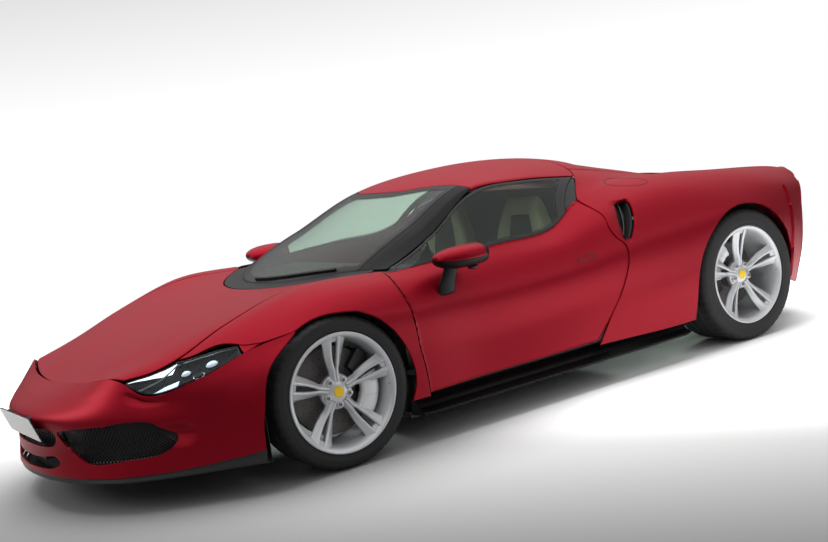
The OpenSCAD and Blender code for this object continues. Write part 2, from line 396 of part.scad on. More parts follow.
// rim, five twin spokes, hub and brake disc; lip is the outer lip's distance from the tyre's middle
module wheel(w, lip, disc) {
  color("silver") difference() {
    union() {
      spin() polygon([[254, 9 - w / 2], [rim_r, 9 - w / 2], [rim_r, 4 - w / 2], [246, 4 - w / 2], [246, 40 - w / 2],
        [232, 60 - w / 2], [232, w / 2 - 60], [246, w / 2 - 40], [246, lip - 6], [262, lip], [rim_r, lip],
        [rim_r, w / 2 - 8.5], [254, w / 2 - 8.5], [254, w / 2 - 36], [240, w / 2 - 56], [240, 56 - w / 2], [254, 36 - w / 2]]);
      for (k = [0:4]) for (d = [-1, 1]) rotate([0, -90 + 72 * k + 7 * d, 0]) translate([0, 0, -7.5])
        linear_extrude(height = 15) polygon([[55, lip - 86], [55, lip - 50], [110, lip - 42], [200, lip - 24],
          [249, lip - 12], [249, lip - 36], [150, lip - 62]]);
      rotate([-90, 0, 0]) translate([0, 0, 25]) cylinder(r = 76, h = lip - 48 - 25, $fn = 48);
    }
    rotate([-90, 0, 0]) cylinder(r = 30.06, h = lip - 60, $fn = 64);
  }
  color("gray") spin() polygon([[62, 24.8], [72, 24.8], [72, 2], [disc, 2], [disc, -30], [62, -30]]);
}
module knuckle(front) color("dimgray") {
  rotate([-90, 0, 0]) translate([0, 0, -60]) cylinder(r = 30, h = 60 + (front ? 48 : 66), $fn = 64);
  block([-45, -76, -95], [45, -50, 100]);
  if (front) for (z = [-130, 99]) translate([0, -62, z]) cylinder(r = 10, h = 36, $fn = 32);
  else block([-40, -130, -120], [40, -75, 120]);
  // caliper ears
  block([front ? -150 : 44, -76, -30], [front ? -44 : 150, -70.3, 60]);
}
// caliper straddling the disc, d = -1 behind the axle, 1 ahead of it
module caliper(disc, d) color("whitesmoke") rotate([0, d > 0 ? 32 : -131, 0]) rotate([90, 0, 0])
  rotate_extrude(angle = 64, $fn = 64) polygon([[122, -40], [disc + 16, -40], [disc + 16, 70], [122, 70], [122, 33],
    [disc + 4, 33], [disc + 4, -5], [122, -5]]);
module knuckle_fl() at_wheel(0, front_track, front_tyre_r, 1) { knuckle(true); caliper(front_disc_r, -1); }
module knuckle_fr() at_wheel(0, front_track, front_tyre_r, -1) { knuckle(true); caliper(front_disc_r, -1); }
module rear_uprights() for (s = [1, -1]) at_wheel(-2600, rear_track, rear_tyre_r, s) { knuckle(false); caliper(rear_disc_r, 1); }
module tyre_fl() at_wheel(0, front_track, front_tyre_r, 1) tyre(front_tyre_r, front_tyre_w);
module tyre_fr() at_wheel(0, front_track, front_tyre_r, -1) tyre(front_tyre_r, front_tyre_w);
module tyre_rl() at_wheel(-2600, rear_track, rear_tyre_r, 1) tyre(rear_tyre_r, rear_tyre_w);
module tyre_rr() at_wheel(-2600, rear_track, rear_tyre_r, -1) tyre(rear_tyre_r, rear_tyre_w);
module wheel_fl() at_wheel(0, front_track, front_tyre_r, 1) wheel(front_tyre_w, front_tyre_w / 2 - 1, front_disc_r);
module wheel_fr() at_wheel(0, front_track, front_tyre_r, -1) wheel(front_tyre_w, front_tyre_w / 2 - 1, front_disc_r);
module wheel_rl() at_wheel(-2600, rear_track, rear_tyre_r, 1) wheel(rear_tyre_w, rear_tyre_w / 2 - 6, rear_disc_r);
module wheel_rr() at_wheel(-2600, rear_track, rear_tyre_r, -1) wheel(rear_tyre_w, rear_tyre_w / 2 - 6, rear_disc_r);
// wishbones, two a side at each axle
module arm(y, z, bore) translate([0, y, z]) difference() {
  linear_extrude(height = 22) difference() {
    union() {
      circle(r = 24, $fn = 32);
      polygon([[-18, 0], [18, 0], [135, y0_arm(y)], [-135, y0_arm(y)]]);
    }
    polygon([[0, -60], [95, y0_arm(y) - 1], [-95, y0_arm(y) - 1]]);
  }
  translate([0, 0, -1]) cylinder(r = bore, h = 24, $fn = 32);
}
function y0_arm(y) = 520 * ky - y;
module suspension_arms() color("dimgray") lr() {
  for (z = [-128, 101.5]) translate([fx(0), 0, front_tyre_r]) arm(front_track / 2 - 62, z, 10.06);
  for (z = [-119, 97]) translate([fx(-2600), 0, rear_tyre_r + z]) linear_extrude(height = 22)
    let (y0 = 520 * ky, y1 = rear_track / 2 - 130.3)
      polygon([[-39, y1], [39, y1], [110, y0], [60, y0], [0, max(y0 + 1, y1 - 45.7)], [-60, y0], [-110, y0]]);
}

// Cabin and engine
module seats() color("tan") lr() translate([fx(-1240), seat_y + 235, 0]) rotate([90, 0, 0]) linear_extrude(height = 470)
  polygon([[400, 135 * kz + .3], [-160, 135 * kz + .3], [-380, 620 * kz], [-400, 930 * kz], [-370, 990 * kz],
    [-330, 980 * kz], [-300, 900 * kz], [-270, 620 * kz],
    [-90, seat_z - 20], [400, seat_z]]);
module dashboard() color("black") {
  translate([fx(-905), seat_y, 690 * kz]) rotate([0, -68, 0]) translate([0, 0, -190])
    cylinder(r = 30, h = 175.7, $fn = 32);
  translate([0, 700 * ky, 0]) rotate([90, 0, 0]) linear_extrude(height = 1400 * ky)
    polygon(fit2([[fx(-440.3), 570], [fx(-440.3), 738], [fx(-560), 770], [fx(-720), 765], [fx(-790), 700],
      [fx(-770), 620], [fx(-600), 540]]));
}
module steering_wheel() color("black") translate([fx(-905), seat_y, 690 * kz]) rotate([0, -68, 0]) {
  rotate_extrude($fn = 64) translate([wheel_d / 2 - 15, 0]) circle(r = 15, $fn = 24);
  cylinder(r = 60, h = 28, center = true, $fn = 32);
  for (a = [0, 110, 250]) rotate([0, 0, a]) translate([50, -14, -6]) cube([wheel_d / 2 - 62, 28, 12]);
}
module engine_block() color("gray") bay([fx(-2440), -399.7, 180], [fx(-1770), 399.7, 720]);
module wipers() color("black") let (g = screen_grid())
  shell([for (i = [0:4]) [for (f = [.12, .2]) lerp(g[i][0], g[i][1], f)]], -14, -.8);

tub();
front_bumper();
splitter();
grilles();
front_fenders();
headlamps();
headlamp_lenses();
bonnet();
pillars();
windscreen();
roof();
door_left();
door_right();
door_glass_left();
door_glass_right();
mirror_left();
mirror_right();
quarter_panels();
engine_lid();
rear_window();
rear_bumper();
tail_lamps();
exhaust();
diffuser();
side_skirts();
arch_liners();
knuckle_fl();
knuckle_fr();
rear_uprights();
suspension_arms();
tyre_fl();
tyre_fr();
tyre_rl();
tyre_rr();
wheel_fl();
wheel_fr();
wheel_rl();
wheel_rr();
seats();
dashboard();
steering_wheel();
engine_block();
wipers();
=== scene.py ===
# %% [markdown]
# # A mid-engined berlinetta in satin red
# The CAD model holds every real piece: panels, frame, wheels, joints. This file gives it its looks.
# The body panels come from the same few lines as in the CAD source, worked out on much finer grids,
# so that a long highlight runs over them without a kink. All lengths in tables are millimetres,
# measured from the front axle, and everything that reaches Blender is in metres.

# %% Setup
import math

import bpy
import numpy as np
from mathutils import Matrix, Vector


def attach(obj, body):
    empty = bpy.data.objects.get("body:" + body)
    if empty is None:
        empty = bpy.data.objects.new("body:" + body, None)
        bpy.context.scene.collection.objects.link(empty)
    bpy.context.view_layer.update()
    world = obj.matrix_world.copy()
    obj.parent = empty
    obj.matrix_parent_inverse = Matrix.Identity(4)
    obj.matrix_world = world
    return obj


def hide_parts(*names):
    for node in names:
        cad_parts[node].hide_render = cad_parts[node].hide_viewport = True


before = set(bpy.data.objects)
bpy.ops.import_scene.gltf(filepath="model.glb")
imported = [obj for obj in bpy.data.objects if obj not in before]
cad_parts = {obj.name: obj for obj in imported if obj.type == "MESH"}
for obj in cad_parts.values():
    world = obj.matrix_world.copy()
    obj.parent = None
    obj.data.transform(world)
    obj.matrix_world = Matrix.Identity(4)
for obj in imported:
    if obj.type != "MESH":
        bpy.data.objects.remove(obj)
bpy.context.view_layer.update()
MM = 0.001
X_FRONT = 1.1525
X_REAR = -1.4475

# %% [markdown]
# ## The camera
# The view is the photograph's: from the front left, a little above the sills, with the slight roll
# of the original picture. Position, lens and roll were found by matching both wheels and the outline.

# %% Camera
camera_data = bpy.data.cameras.new("camera")
camera_data.sensor_width = 36.0
camera_data.lens = 1226.57 / 828 * 36
camera = bpy.data.objects.new("camera", camera_data)
bpy.context.collection.objects.link(camera)
bpy.context.scene.camera = camera
az, el, roll = math.radians(147.213), math.radians(6.859), math.radians(-8.570)
back = Vector((math.sin(az) * math.cos(el), -math.cos(az) * math.cos(el), math.sin(el)))
right = Vector((0, 0, 1)).cross(back).normalized()
up = back.cross(right)
right, up = (math.cos(roll) * right + math.sin(roll) * up, -math.sin(roll) * right + math.cos(roll) * up)
turn = Matrix((right, up, back)).transposed()
camera.matrix_world = Matrix.Translation((3.6723, 5.5621, 1.4533)) @ turn.to_4x4()

# %% [markdown]
# ## Materials
# One function turns a hex colour, as a paint chart gives it, into the linear values that a shader
# wants, and one adds a node with its settings and its links. Every finish below is built with them.

# %% Material helpers
def hexlin(code, alpha=1.0):
    """sRGB hex to linear RGBA."""
    c = [int(code[i:i + 2], 16) / 255 for i in (0, 2, 4)]
    return tuple(v / 12.92 if v <= 0.04045 else ((v + 0.055) / 1.055) ** 2.4 for v in c) + (alpha,)


def add(tree, kind, settings=None, **inputs):
    """One node. settings are its properties; an input is a value or another node's output."""
    node = tree.nodes.new(kind)
    for key, value in (settings or {}).items():
        setattr(node, key, value)
    for key, value in inputs.items():
        socket = node.inputs[int(key[1:]) if key[0] == "i" and key[1:].isdigit() else key.replace("_", " ")]
        if isinstance(value, bpy.types.NodeSocket):
            tree.links.new(value, socket)
        else:
            socket.default_value = value
    return node


def finish(name, colour, roughness, metallic=0.0, grain=None, **sockets):
    """A Principled material. grain = (size in mm, bump height in mm, colour variation, roughness variation)
    is a noise on Object coordinates, which are metres, so its scale is 1000 / size."""
    material = bpy.data.materials.new(name)
    material.use_nodes = True
    tree = material.node_tree
    shader = tree.nodes["Principled BSDF"]
    shader.inputs["Base Color"].default_value = hexlin(colour)
    shader.inputs["Roughness"].default_value = roughness
    shader.inputs["Metallic"].default_value = metallic
    for key, value in sockets.items():
        shader.inputs[key.replace("_", " ")].default_value = value
    material.diffuse_color = hexlin(colour)
    if grain:
        size, height, shade, rough = grain
        place = add(tree, "ShaderNodeTexCoord")
        noise = add(tree, "ShaderNodeTexNoise", Vector=place.outputs["Object"], Scale=1000 / size, Detail=3.0)
        if shade:
            dark = tuple(v * (1 - shade) for v in hexlin(colour)[:3]) + (1,)
            light = tuple(min(1, v * (1 + shade)) for v in hexlin(colour)[:3]) + (1,)
            mix = add(tree, "ShaderNodeMix", {"data_type": "RGBA"}, i0=noise.outputs["Fac"], i6=dark, i7=light)
            tree.links.new(mix.outputs[2], shader.inputs["Base Color"])
        if rough:
            spread = add(tree, "ShaderNodeMapRange", Value=noise.outputs["Fac"], To_Min=roughness - rough,
                         To_Max=roughness + rough)
            tree.links.new(spread.outputs["Result"], shader.inputs["Roughness"])
        if height:
            bump = add(tree, "ShaderNodeBump", Height=noise.outputs["Fac"], Distance=height * MM, Strength=1.0)
            tree.links.new(bump.outputs["Normal"], shader.inputs["Normal"])
    return material


def glazing(name, tint, shine, frit=False):
    """Thin pane: it lets tinted light through and mirrors by Fresnel, times shine for a coated face;
    the frit attribute turns it black. On a back face the ratio of the indices is the other way round."""
    material = bpy.data.materials.new(name)
    material.use_nodes = True
    tree = material.node_tree
    tree.nodes.remove(tree.nodes["Principled BSDF"])
    out = tree.nodes["Material Output"]
    clear = add(tree, "ShaderNodeBsdfTransparent", Color=hexlin(tint))
    gloss = add(tree, "ShaderNodeBsdfGlossy", Color=hexlin("FFFFFF"), Roughness=0.02)
    side_of = add(tree, "ShaderNodeNewGeometry")
    ratio = add(tree, "ShaderNodeMapRange", Value=side_of.outputs["Backfacing"], To_Min=1.5, To_Max=1 / 1.5)
    fresnel = add(tree, "ShaderNodeFresnel", IOR=ratio.outputs["Result"])
    lift = add(tree, "ShaderNodeMath", {"operation": "MULTIPLY", "use_clamp": True}, i0=fresnel.outputs[0], i1=shine)
    pane = add(tree, "ShaderNodeMixShader", i0=lift.outputs[0], i1=clear.outputs[0], i2=gloss.outputs[0])
    if frit:
        band = add(tree, "ShaderNodeAttribute", {"attribute_name": "frit"})
        black = add(tree, "ShaderNodeBsdfPrincipled", Base_Color=hexlin("090909"), Roughness=0.3)
        pane = add(tree, "ShaderNodeMixShader", i0=band.outputs["Fac"], i1=pane.outputs[0], i2=black.outputs[0])
    tree.links.new(pane.outputs[0], out.inputs["Surface"])
    return material


# %% [markdown]
# Satin paint on a car is a coloured base with fine metal flake under a clear coat that is left dull,
# so a lamp gives a wide soft glow instead of a mirror image. The base is a deep red; the dull coat
# lays the pale, slightly pink sheen over every surface that looks up at the light.

# %% Finishes
paint = finish("satin_red_paint", "8E001A", 0.44, 0.70, grain=(1.5, 0.0, 0.05, 0.02),
               Coat_Weight=0.2, Coat_Roughness=0.33, Coat_IOR=1.4, Specular_IOR_Level=0.2)
black_gloss = finish("gloss_black_plastic", "0B0B0C", 0.14, grain=(40, 0.0, 0.1, 0.03))
black_satin = finish("satin_black_trim", "0A0A0B", 0.42, grain=(30, 0.0, 0.1, 0.03), Specular_IOR_Level=0.2)
# Black moulded plastic; on the disc drillings and the bolt sockets the same black is painted shade in holes.
black_matt = finish("black_plastic_and_painted_hole_shade", "121213", 0.55, grain=(1.2, 0.05, 0.15, 0.05))
liner_felt = finish("wheel_arch_felt", "0A0A0A", 0.95, grain=(6, 0.4, 0.3, 0.0))
carbon = finish("satin_charcoal_composite", "232325", 0.42, grain=(3, 0.0, 0.15, 0.05))
chassis = finish("sand_cast_aluminium_frame", "4A4B4D", 0.6, 0.8, grain=(4, 0.1, 0.1, 0.08))
alloy = finish("painted_silver_alloy", "C4C6C9", 0.30, 0.35, grain=(2, 0.0, 0.03, 0.03), Coat_Weight=0.4,
               Coat_Roughness=0.1)
alloy_dark = finish("cast_alloy_in_shade", "6C6E70", 0.45, 0.7, grain=(3, 0.05, 0.1, 0.05))
bolt_steel = finish("zinc_plated_steel", "9A9A98", 0.3, 1.0, grain=(2, 0.0, 0.1, 0.05))
disc_ceramic = finish("carbon_ceramic_disc", "5A5755", 0.5, 0.25, grain=(7, 0.05, 0.35, 0.08))
caliper_paint = finish("silver_painted_caliper", "D8D9DA", 0.32, 0.25, grain=(3, 0.0, 0.05, 0.04))
cast_iron = finish("machined_cast_iron", "3A3A3B", 0.5, 0.7, grain=(3, 0.1, 0.15, 0.08))
rubber = finish("tyre_rubber", "161617", 0.72, grain=(2.5, 0.08, 0.15, 0.06))
seal_rubber = finish("window_seal_rubber", "0E0E0F", 0.6, grain=(2, 0.03, 0.1, 0.05))
cream = finish("cream_nappa_leather", "CFC4A6", 0.5, grain=(1.8, 0.12, 0.06, 0.06))
hide_dark = finish("black_nappa_leather", "1A1918", 0.5, grain=(1.8, 0.12, 0.15, 0.06))
carpet = finish("cabin_carpet", "171615", 0.95, grain=(2.2, 0.8, 0.35, 0.0))
yellow = finish("yellow_cap_enamel", "F2C500", 0.3, grain=(10, 0.0, 0.03, 0.02))
plate_white = finish("painted_white_plate", "DEDEDC", 0.35, grain=(20, 0.0, 0.02, 0.03))
exhaust_steel = finish("brushed_stainless_steel", "A09F9C", 0.3, 1.0, grain=(1.5, 0.0, 0.1, 0.1))
chrome = finish("lamp_reflector_chrome", "E8EAEC", 0.08, 1.0)
mirror_glass = finish("silvered_mirror", "F0F2F2", 0.02, 1.0)
windscreen_glass = glazing("laminated_windscreen_glass", "EEF5F1", 0.8, frit=True)
side_glass = glazing("green_tinted_side_glass", "DCE8E0", 0.55, frit=True)
lamp_glass = glazing("polycarbonate_lamp_cover", "F2F6F8", 0.3, frit=True)
red_lens = finish("red_lamp_lens", "7A0508", 0.1, grain=(4, 0.0, 0.2, 0.02), Coat_Weight=1.0, Coat_Roughness=0.03)


def glow(name, colour, strength):
    """A lit lamp: emission of a white that is a little blue."""
    material = finish(name, colour, 0.3)
    shader = material.node_tree.nodes["Principled BSDF"]
    shader.inputs["Emission Color"].default_value = hexlin(colour)
    shader.inputs["Emission Strength"].default_value = strength
    return material


led_white = glow("daylight_led", "F4F9FF", 1.6)
led_soft = glow("light_guide", "DCE9F8", 0.55)

# %% [markdown]
# ## Surfaces from lines
# Each big surface is a net of measured points. Between them runs a cubic whose slope at a point is the
# mean of its two neighbours' slopes, weighted by distance; a number at a point turns it into a crease.
# Worked out for whole arrays of parameters at once, this gives grids as fine as a highlight needs.

# %% Net surface
def cubic(p0, p1, p2, p3, t, c1, c2):
    """Hermite cubic from p1 to p2: slopes m are chord-weighted means, mixed with the chord by c."""
    size = lambda v: np.maximum(np.linalg.norm(v, axis=-1, keepdims=True), 1e-5)
    d = p2 - p1
    h0, h1, h2 = size(p1 - p0), size(d), size(p3 - p2)
    m1 = ((p1 - p0) * (h1 / h0) + d * (h0 / h1)) * (h1 / (h0 + h1))
    m2 = (d * (h2 / h1) + (p3 - p2) * (h1 / h2)) * (h1 / (h1 + h2))
    m1, m2 = m1 + (d - m1) * c1, m2 + (d - m2) * c2
    s, q = t * t, t * t * t
    return p1 * (2 * q - 3 * s + 1) + m1 * (q - 2 * s + t) + p2 * (3 * s - 2 * q) + m2 * (q - s)


FLIP = np.array([1.0, -1.0, 1.0])


def net(rows, mirror_p, mirror_q, crisp=()):
    """Returns S(p, q) -> points in metres, p along the rows' index and q along the points of a row."""
    r = np.array(rows, float) * MM
    r[..., 0] += X_FRONT
    n, m = r.shape[:2]
    first = r[:, 1:2] * FLIP if mirror_q else 2 * r[:, :1] - r[:, 1:2]
    r = np.concatenate([first, r, 2 * r[:, -1:] - r[:, -2:-1]], axis=1)
    start = r[1:2] * FLIP if mirror_p else 2 * r[:1] - r[1:2]
    e = np.concatenate([start, r, 2 * r[-1:] - r[-2:-1]], axis=0)
    cp, cq = np.zeros((n, m)), np.zeros((n, m))
    for i, j, a, b in crisp:
        cp[i, j], cq[i, j] = a, b
    cq = np.concatenate([cq[1:2] if mirror_p else cq[:1], cq, cq[-1:]], axis=0)

    def surface(p, q):
        p, q = np.broadcast_arrays(np.asarray(p, float), np.asarray(q, float))
        i = np.clip(np.floor(p), 0, n - 2).astype(int)
        j = np.clip(np.floor(q), 0, m - 2).astype(int)
        t, f = (p - i)[..., None], (q - j)[..., None]
        row = [cubic(*[e[i + a, j + b] for b in range(4)], f, cq[i + a, j][..., None], cq[i + a, j + 1][..., None])
               for a in range(4)]
        c1 = cp[i, j][..., None] * (1 - f) + cp[i, j + 1][..., None] * f
        c2 = cp[i + 1, j][..., None] * (1 - f) + cp[i + 1, j + 1][..., None] * f
        return cubic(*row, t, c1, c2)
    surface.limits = (n - 1, m - 1)
    surface.stations = r[2, 1:-1, 0]
    return surface


def seek(surface, x, v, axis, p, q):
    """Newton's method: the parameters where the surface has this x and this y (axis 1) or z (axis 2)."""
    x, v, p, q = [np.atleast_1d(np.asarray(a, float)).copy() for a in (x, v, p, q)]
    for _ in range(14):
        h = 0.002
        a = surface(p, q)
        dp, dq = (surface(p + h, q) - a) / h, (surface(p, q + h) - a) / h
        ex, ev = x - a[:, 0], v - a[:, axis]
        det = dp[:, 0] * dq[:, axis] - dp[:, axis] * dq[:, 0]
        det = np.where(np.abs(det) < 1e-6, np.inf, det)
        sp, sq = (ex * dq[:, axis] - ev * dq[:, 0]) / det, (dp[:, 0] * ev - dp[:, axis] * ex) / det
        g = np.minimum(1, 0.6 / np.maximum(np.maximum(np.abs(sp), np.abs(sq)), 0.01))
        p = np.clip(p + g * sp, 0, surface.limits[0])
        q = np.clip(q + g * sq, 0, surface.limits[1])
    return np.stack([p, q], axis=-1)


def hits(surface, points, p0=4.0):
    """Edge points (u, y, 1), (u, z, 2) or plain parameters (p, q, 0) to parameters."""
    out = []
    for a, b, kind in points:
        if kind == 0:
            out.append((a, b))
            continue
        x = X_FRONT + a * MM
        q0 = float(np.interp(-x, -surface.stations, np.arange(len(surface.stations))))
        start = min(1.6, abs(b) / 420) if kind == 1 else p0
        out.append(tuple(seek(surface, x, b * MM, kind, start, q0)[0]))
    return np.array(out)


def curve(surface, points, n, p0=4.0, corners=(), smooth=True):
    """Smooth line through edge points, cut into n equal lengths measured on the surface."""
    k = hits(surface, points, p0)
    if smooth and len(k) > 2:
        w = surface(k[:, 0], k[:, 1])
        g = np.concatenate([2 * k[:1] - k[1:2], k, 2 * k[-1:] - k[-2:-1]])
        gw = np.concatenate([2 * w[:1] - w[1:2], w, 2 * w[-1:] - w[-2:-1]])
        fine = []
        for i in range(len(k) - 1):
            t = np.linspace(0, 1, 24, endpoint=False)[:, None]
            both = np.concatenate([g, gw * 10], axis=1)
            c1, c2 = float(i in corners), float(i + 1 in corners)
            fine.append(cubic(*[both[i + a] for a in range(4)], t, c1, c2)[:, :2])
        k = np.concatenate(fine + [k[-1:]])
    w = surface(k[:, 0], k[:, 1])
    d = np.concatenate([[0], np.cumsum(np.linalg.norm(np.diff(w, axis=0), axis=1))])
    s = np.linspace(0, d[-1], n + 1)
    return np.stack([np.interp(s, d, k[:, 0]), np.interp(s, d, k[:, 1])], axis=-1)


def coons(e0, e1, f0, f1):
    """Four edges in parameters, filled by Coons' rule: e0 and e1 run along j, f0 and f1 along i."""
    n, m = len(f0) - 1, len(e0) - 1
    s, t = np.linspace(0, 1, n + 1)[:, None, None], np.linspace(0, 1, m + 1)[None, :, None]
    return ((1 - s) * e0[None] + s * e1[None] + (1 - t) * f0[:, None] + t * f1[:, None]
            - (1 - s) * (1 - t) * e0[0] - (1 - s) * t * e0[-1] - s * (1 - t) * e1[0] - s * t * e1[-1])


def on(surface, w):
    return surface(w[..., 0], w[..., 1])


def u1(pts):
    return [(a, b, 1) for a, b in pts]


def u2(pts):
    return [(a, b, 2) for a, b in pts]


def pq(pts):
    return [(a, b, 0) for a, b in pts]


# %% The body's lines, as in the CAD source
CENTRE = [[967,0,530],[720,0,618],[400,0,702],[100,0,755],[-90,0,776],[-520,0,955],[-970,0,1138],[-1400,0,1187],
          [-1800,0,1168],[-2200,0,1082],[-2650,0,966],[-3080,0,898],[-3420,0,868]]
RAIL = [[935,330,545],[700,400,624],[390,450,714],[60,500,772],[-400,668,796],[-740,628,944],[-1100,563,1090],
        [-1400,560,1092],[-1790,560,1050],[-2200,590,985],[-2650,600,925],[-3080,600,884],[-3385,560,862]]
CREST = [[845,600,553],[615,690,604],[360,742,692],[0,757,800],[-470,790,796],[-780,803,800],[-1080,805,800],
         [-1380,798,815],[-1650,728,930],[-2060,690,982],[-2620,785,938],[-3000,805,885],[-3240,800,842]]
SHOULDER = [[800,665,500],[598,800,529],[372,862,604],[0,890,745],[-470,880,744],[-780,868,735],[-1080,868,735],
            [-1380,882,745],[-1690,895,805],[-2080,852,905],[-2620,912,855],[-2990,905,812],[-3230,848,790]]
WAIST = [[770,710,430],[545,850,465],[330,935,560],[0,962,675],[-470,948,640],[-780,925,615],[-1080,925,615],
         [-1380,935,630],[-1710,955,670],[-2090,962,735],[-2620,979,752],[-2970,952,680],[-3190,885,650]]
LOWER = [[715,755,340],[500,870,350],[375,948,420],[0,958,420],[-455,950,420],[-780,920,400],[-1080,918,400],
         [-1380,928,410],[-1730,950,430],[-2110,972,450],[-2620,979,480],[-2940,950,430],[-3150,888,420]]
SILL = [[680,780,235],[470,880,235],[392,950,235],[0,940,205],[-435,950,212],[-780,930,222],[-1080,930,222],
        [-1380,932,215],[-1730,935,205],[-2120,950,185],[-2620,955,190],[-2920,930,210],[-3090,868,225]]
side = net([CENTRE, RAIL, CREST, SHOULDER, WAIST, LOWER, SILL], True, False,
           [(0,4,0,1),(1,4,0,1),(1,5,.7,0),(1,6,.7,0),(1,7,.5,0),(2,4,.8,0),(2,5,.8,0),(2,6,.8,0),(2,7,.8,0),(2,8,.6,0)])
nose = net([
    [[967,0,530],[935,330,545],[845,600,553],[800,665,500],[598,800,529],[372,862,604],[185,950,650]],
    [[1070,0,478],[1010,330,490],[872,610,500],[775,695,463],[578,825,480],[400,905,520],[344,955,509]],
    [[1130,0,432],[1078,330,425],[925,600,415],[748,735,400],[560,842,410],[435,915,420],[387,958,366]],
    [[1108,0,290],[1060,330,290],[905,600,290],[715,760,300],[545,855,310],[440,920,320],[402,958,300]],
    [[1122,0,170],[1074,330,168],[915,610,166],[700,775,170],[545,862,180],[450,918,190],[408,955,200]],
    [[1126,0,148],[1078,330,147],[920,614,146],[704,780,146],[549,866,147],[454,922,149],[413,952,151]]],
    False, True, [(4, j, 1, 0) for j in range(7)])
tail = net([
    [[-3420,0,868],[-3392,0,790],[-3372,0,650],[-3435,0,430],[-3420,0,300]],
    [[-3385,560,862],[-3350,560,790],[-3330,560,650],[-3390,560,430],[-3370,560,300]],
    [[-3300,730,850],[-3285,735,790],[-3265,755,650],[-3280,755,425],[-3250,730,280]],
    [[-3240,800,842],[-3230,848,790],[-3190,885,650],[-3150,888,420],[-3090,868,225]]], True, False)
FRONT_ARCH = [[185,650],[105,681],[29,694],[-66,689],[-148,667],[-220,623],[-289,556],[-344,473],[-372,396],
              [-380,334],[-372,280],[-344,216]]
REAR_ARCH = [[-2166,200],[-2186,299],[-2206,420],[-2239,519],[-2285,597],[-2358,671],[-2455,730],[-2557,754],
             [-2647,752],[-2748,727],[-2840,672],[-2913,602],[-2968,521],[-2999,430],[-2999,350],[-2975,260]]
DOOR_FRONT = [[-389,770],[-387,745],[-392,710],[-397,675],[-403,640],[-410,580],[-422,485],[-441,361],[-449,236]]
DOOR_REAR = [[-1667,890],[-1687,845],[-1675,780],[-1689,735],[-1733,682],[-1735,616],[-1689,480],[-1589,340],[-1489,240]]

# %% [markdown]
# ## From a grid to a panel
# A panel is one grid of points with walls folded in behind its edges. Solidify gives the sheet its
# thickness inwards, and a small bevel rolls the edge over, because a pressed panel has no sharp rim:
# the thin bright line along a shut gap is what tells the eye that two panels meet there.

# %% Mesh helpers
def mesh_piece(name, vertices, faces, material, body, slot, replaces=(), smooth=True):
    """Arrays to an object at the origin, declared to the frame. faces is a list of index arrays."""
    mesh = bpy.data.meshes.new(name)
    mesh.from_pydata(np.asarray(vertices).reshape(-1, 3).tolist(), [],
                     [f for block in faces for f in np.asarray(block).tolist()])
    mesh.materials.append(material)
    mesh.polygons.foreach_set("use_smooth", [smooth] * len(mesh.polygons))
    mesh.update()
    obj = bpy.data.objects.new(name, mesh)
    bpy.context.collection.objects.link(obj)
    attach(obj, body)
    if replaces:
        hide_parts(*replaces)
    return obj


def quads(n, m, keep=None, close_i=False, close_j=False, offset=0, flip=False):
    """Index array of the cells of an n x m grid of points; keep is a mask of cells."""
    i = np.arange(n if close_i else n - 1)[:, None]
    j = np.arange(m if close_j else m - 1)[None, :]
    a, b, c, d = [(ii % n) * m + jj % m for ii, jj in ((i, j), (i + 1, j), (i + 1, j + 1), (i, j + 1))]
    f = np.stack(np.broadcast_arrays(a, b, c, d), axis=-1)
    f = f.reshape(-1, 4) if keep is None else f[keep]
    return (f[:, ::-1] if flip else f) + offset


def outward(grid):
    """True when the grid's face order points away from the car's middle line."""
    g = np.asarray(grid)
    n = np.cross(g[1:, :-1] - g[:-1, :-1], g[:-1, 1:] - g[:-1, :-1])
    c = g[:-1, :-1] - np.array([0, 0, 0.45])
    c[..., 0] = c[..., 0] * 0.35
    return float((n * c).sum()) > 0


def skin(name, grids, material, body, slot, replaces=(), thick=0.010, bevel=0.0022, masks=None, both=False):
    """Panel from one or more grids; both adds the mirror image. Solidify inwards, then roll the rim."""
    vertices, faces, count = [], [], 0
    for k, g in enumerate(grids):
        for sign in ((1, -1) if both else (1,)):
            w = g * np.array([1, sign, 1])
            vertices.append(w.reshape(-1, 3))
            faces.append(quads(*w.shape[:2], keep=None if masks is None else masks[k], offset=count,
                               flip=not outward(w)))
            count += w.shape[0] * w.shape[1]
    obj = mesh_piece(name, np.concatenate(vertices), faces, material, body, slot, replaces)
    clean(obj)
    if len(grids) > 1:
        weld = obj.modifiers.new("weld", "WELD")
        weld.merge_threshold = 0.00005
    if thick:
        wall = obj.modifiers.new("wall", "SOLIDIFY")
        wall.thickness, wall.offset, wall.use_even_offset = thick, -1, False
    if bevel:
        roll_edge(obj, bevel)
    return obj


def clean(obj):
    """Drops points that no face uses."""
    mesh = obj.data
    used = np.zeros(len(mesh.vertices), bool)
    index = np.empty(len(mesh.loops), np.int32)
    mesh.loops.foreach_get("vertex_index", index)
    used[index] = True
    if used.all():
        return
    co = np.empty(len(mesh.vertices) * 3)
    mesh.vertices.foreach_get("co", co)
    size = np.empty(len(mesh.polygons), np.int32)
    mesh.polygons.foreach_get("loop_total", size)
    renumber = np.cumsum(used) - 1
    corner = renumber[index]
    starts = np.concatenate([[0], np.cumsum(size)[:-1]])
    lists = [corner[a:a + b].tolist() for a, b in zip(starts, size)]
    mesh.clear_geometry()
    mesh.from_pydata(co.reshape(-1, 3)[used].tolist(), [], lists)
    mesh.polygons.foreach_set("use_smooth", [True] * len(mesh.polygons))
    mesh.update()


def roll_edge(obj, width, segments=2, angle=50):
    bevel = obj.modifiers.new("rolled_edge", "BEVEL")
    bevel.width, bevel.segments, bevel.limit_method = width, segments, "ANGLE"
    bevel.angle_limit = math.radians(angle)
    bevel.harden_normals = False
    return bevel


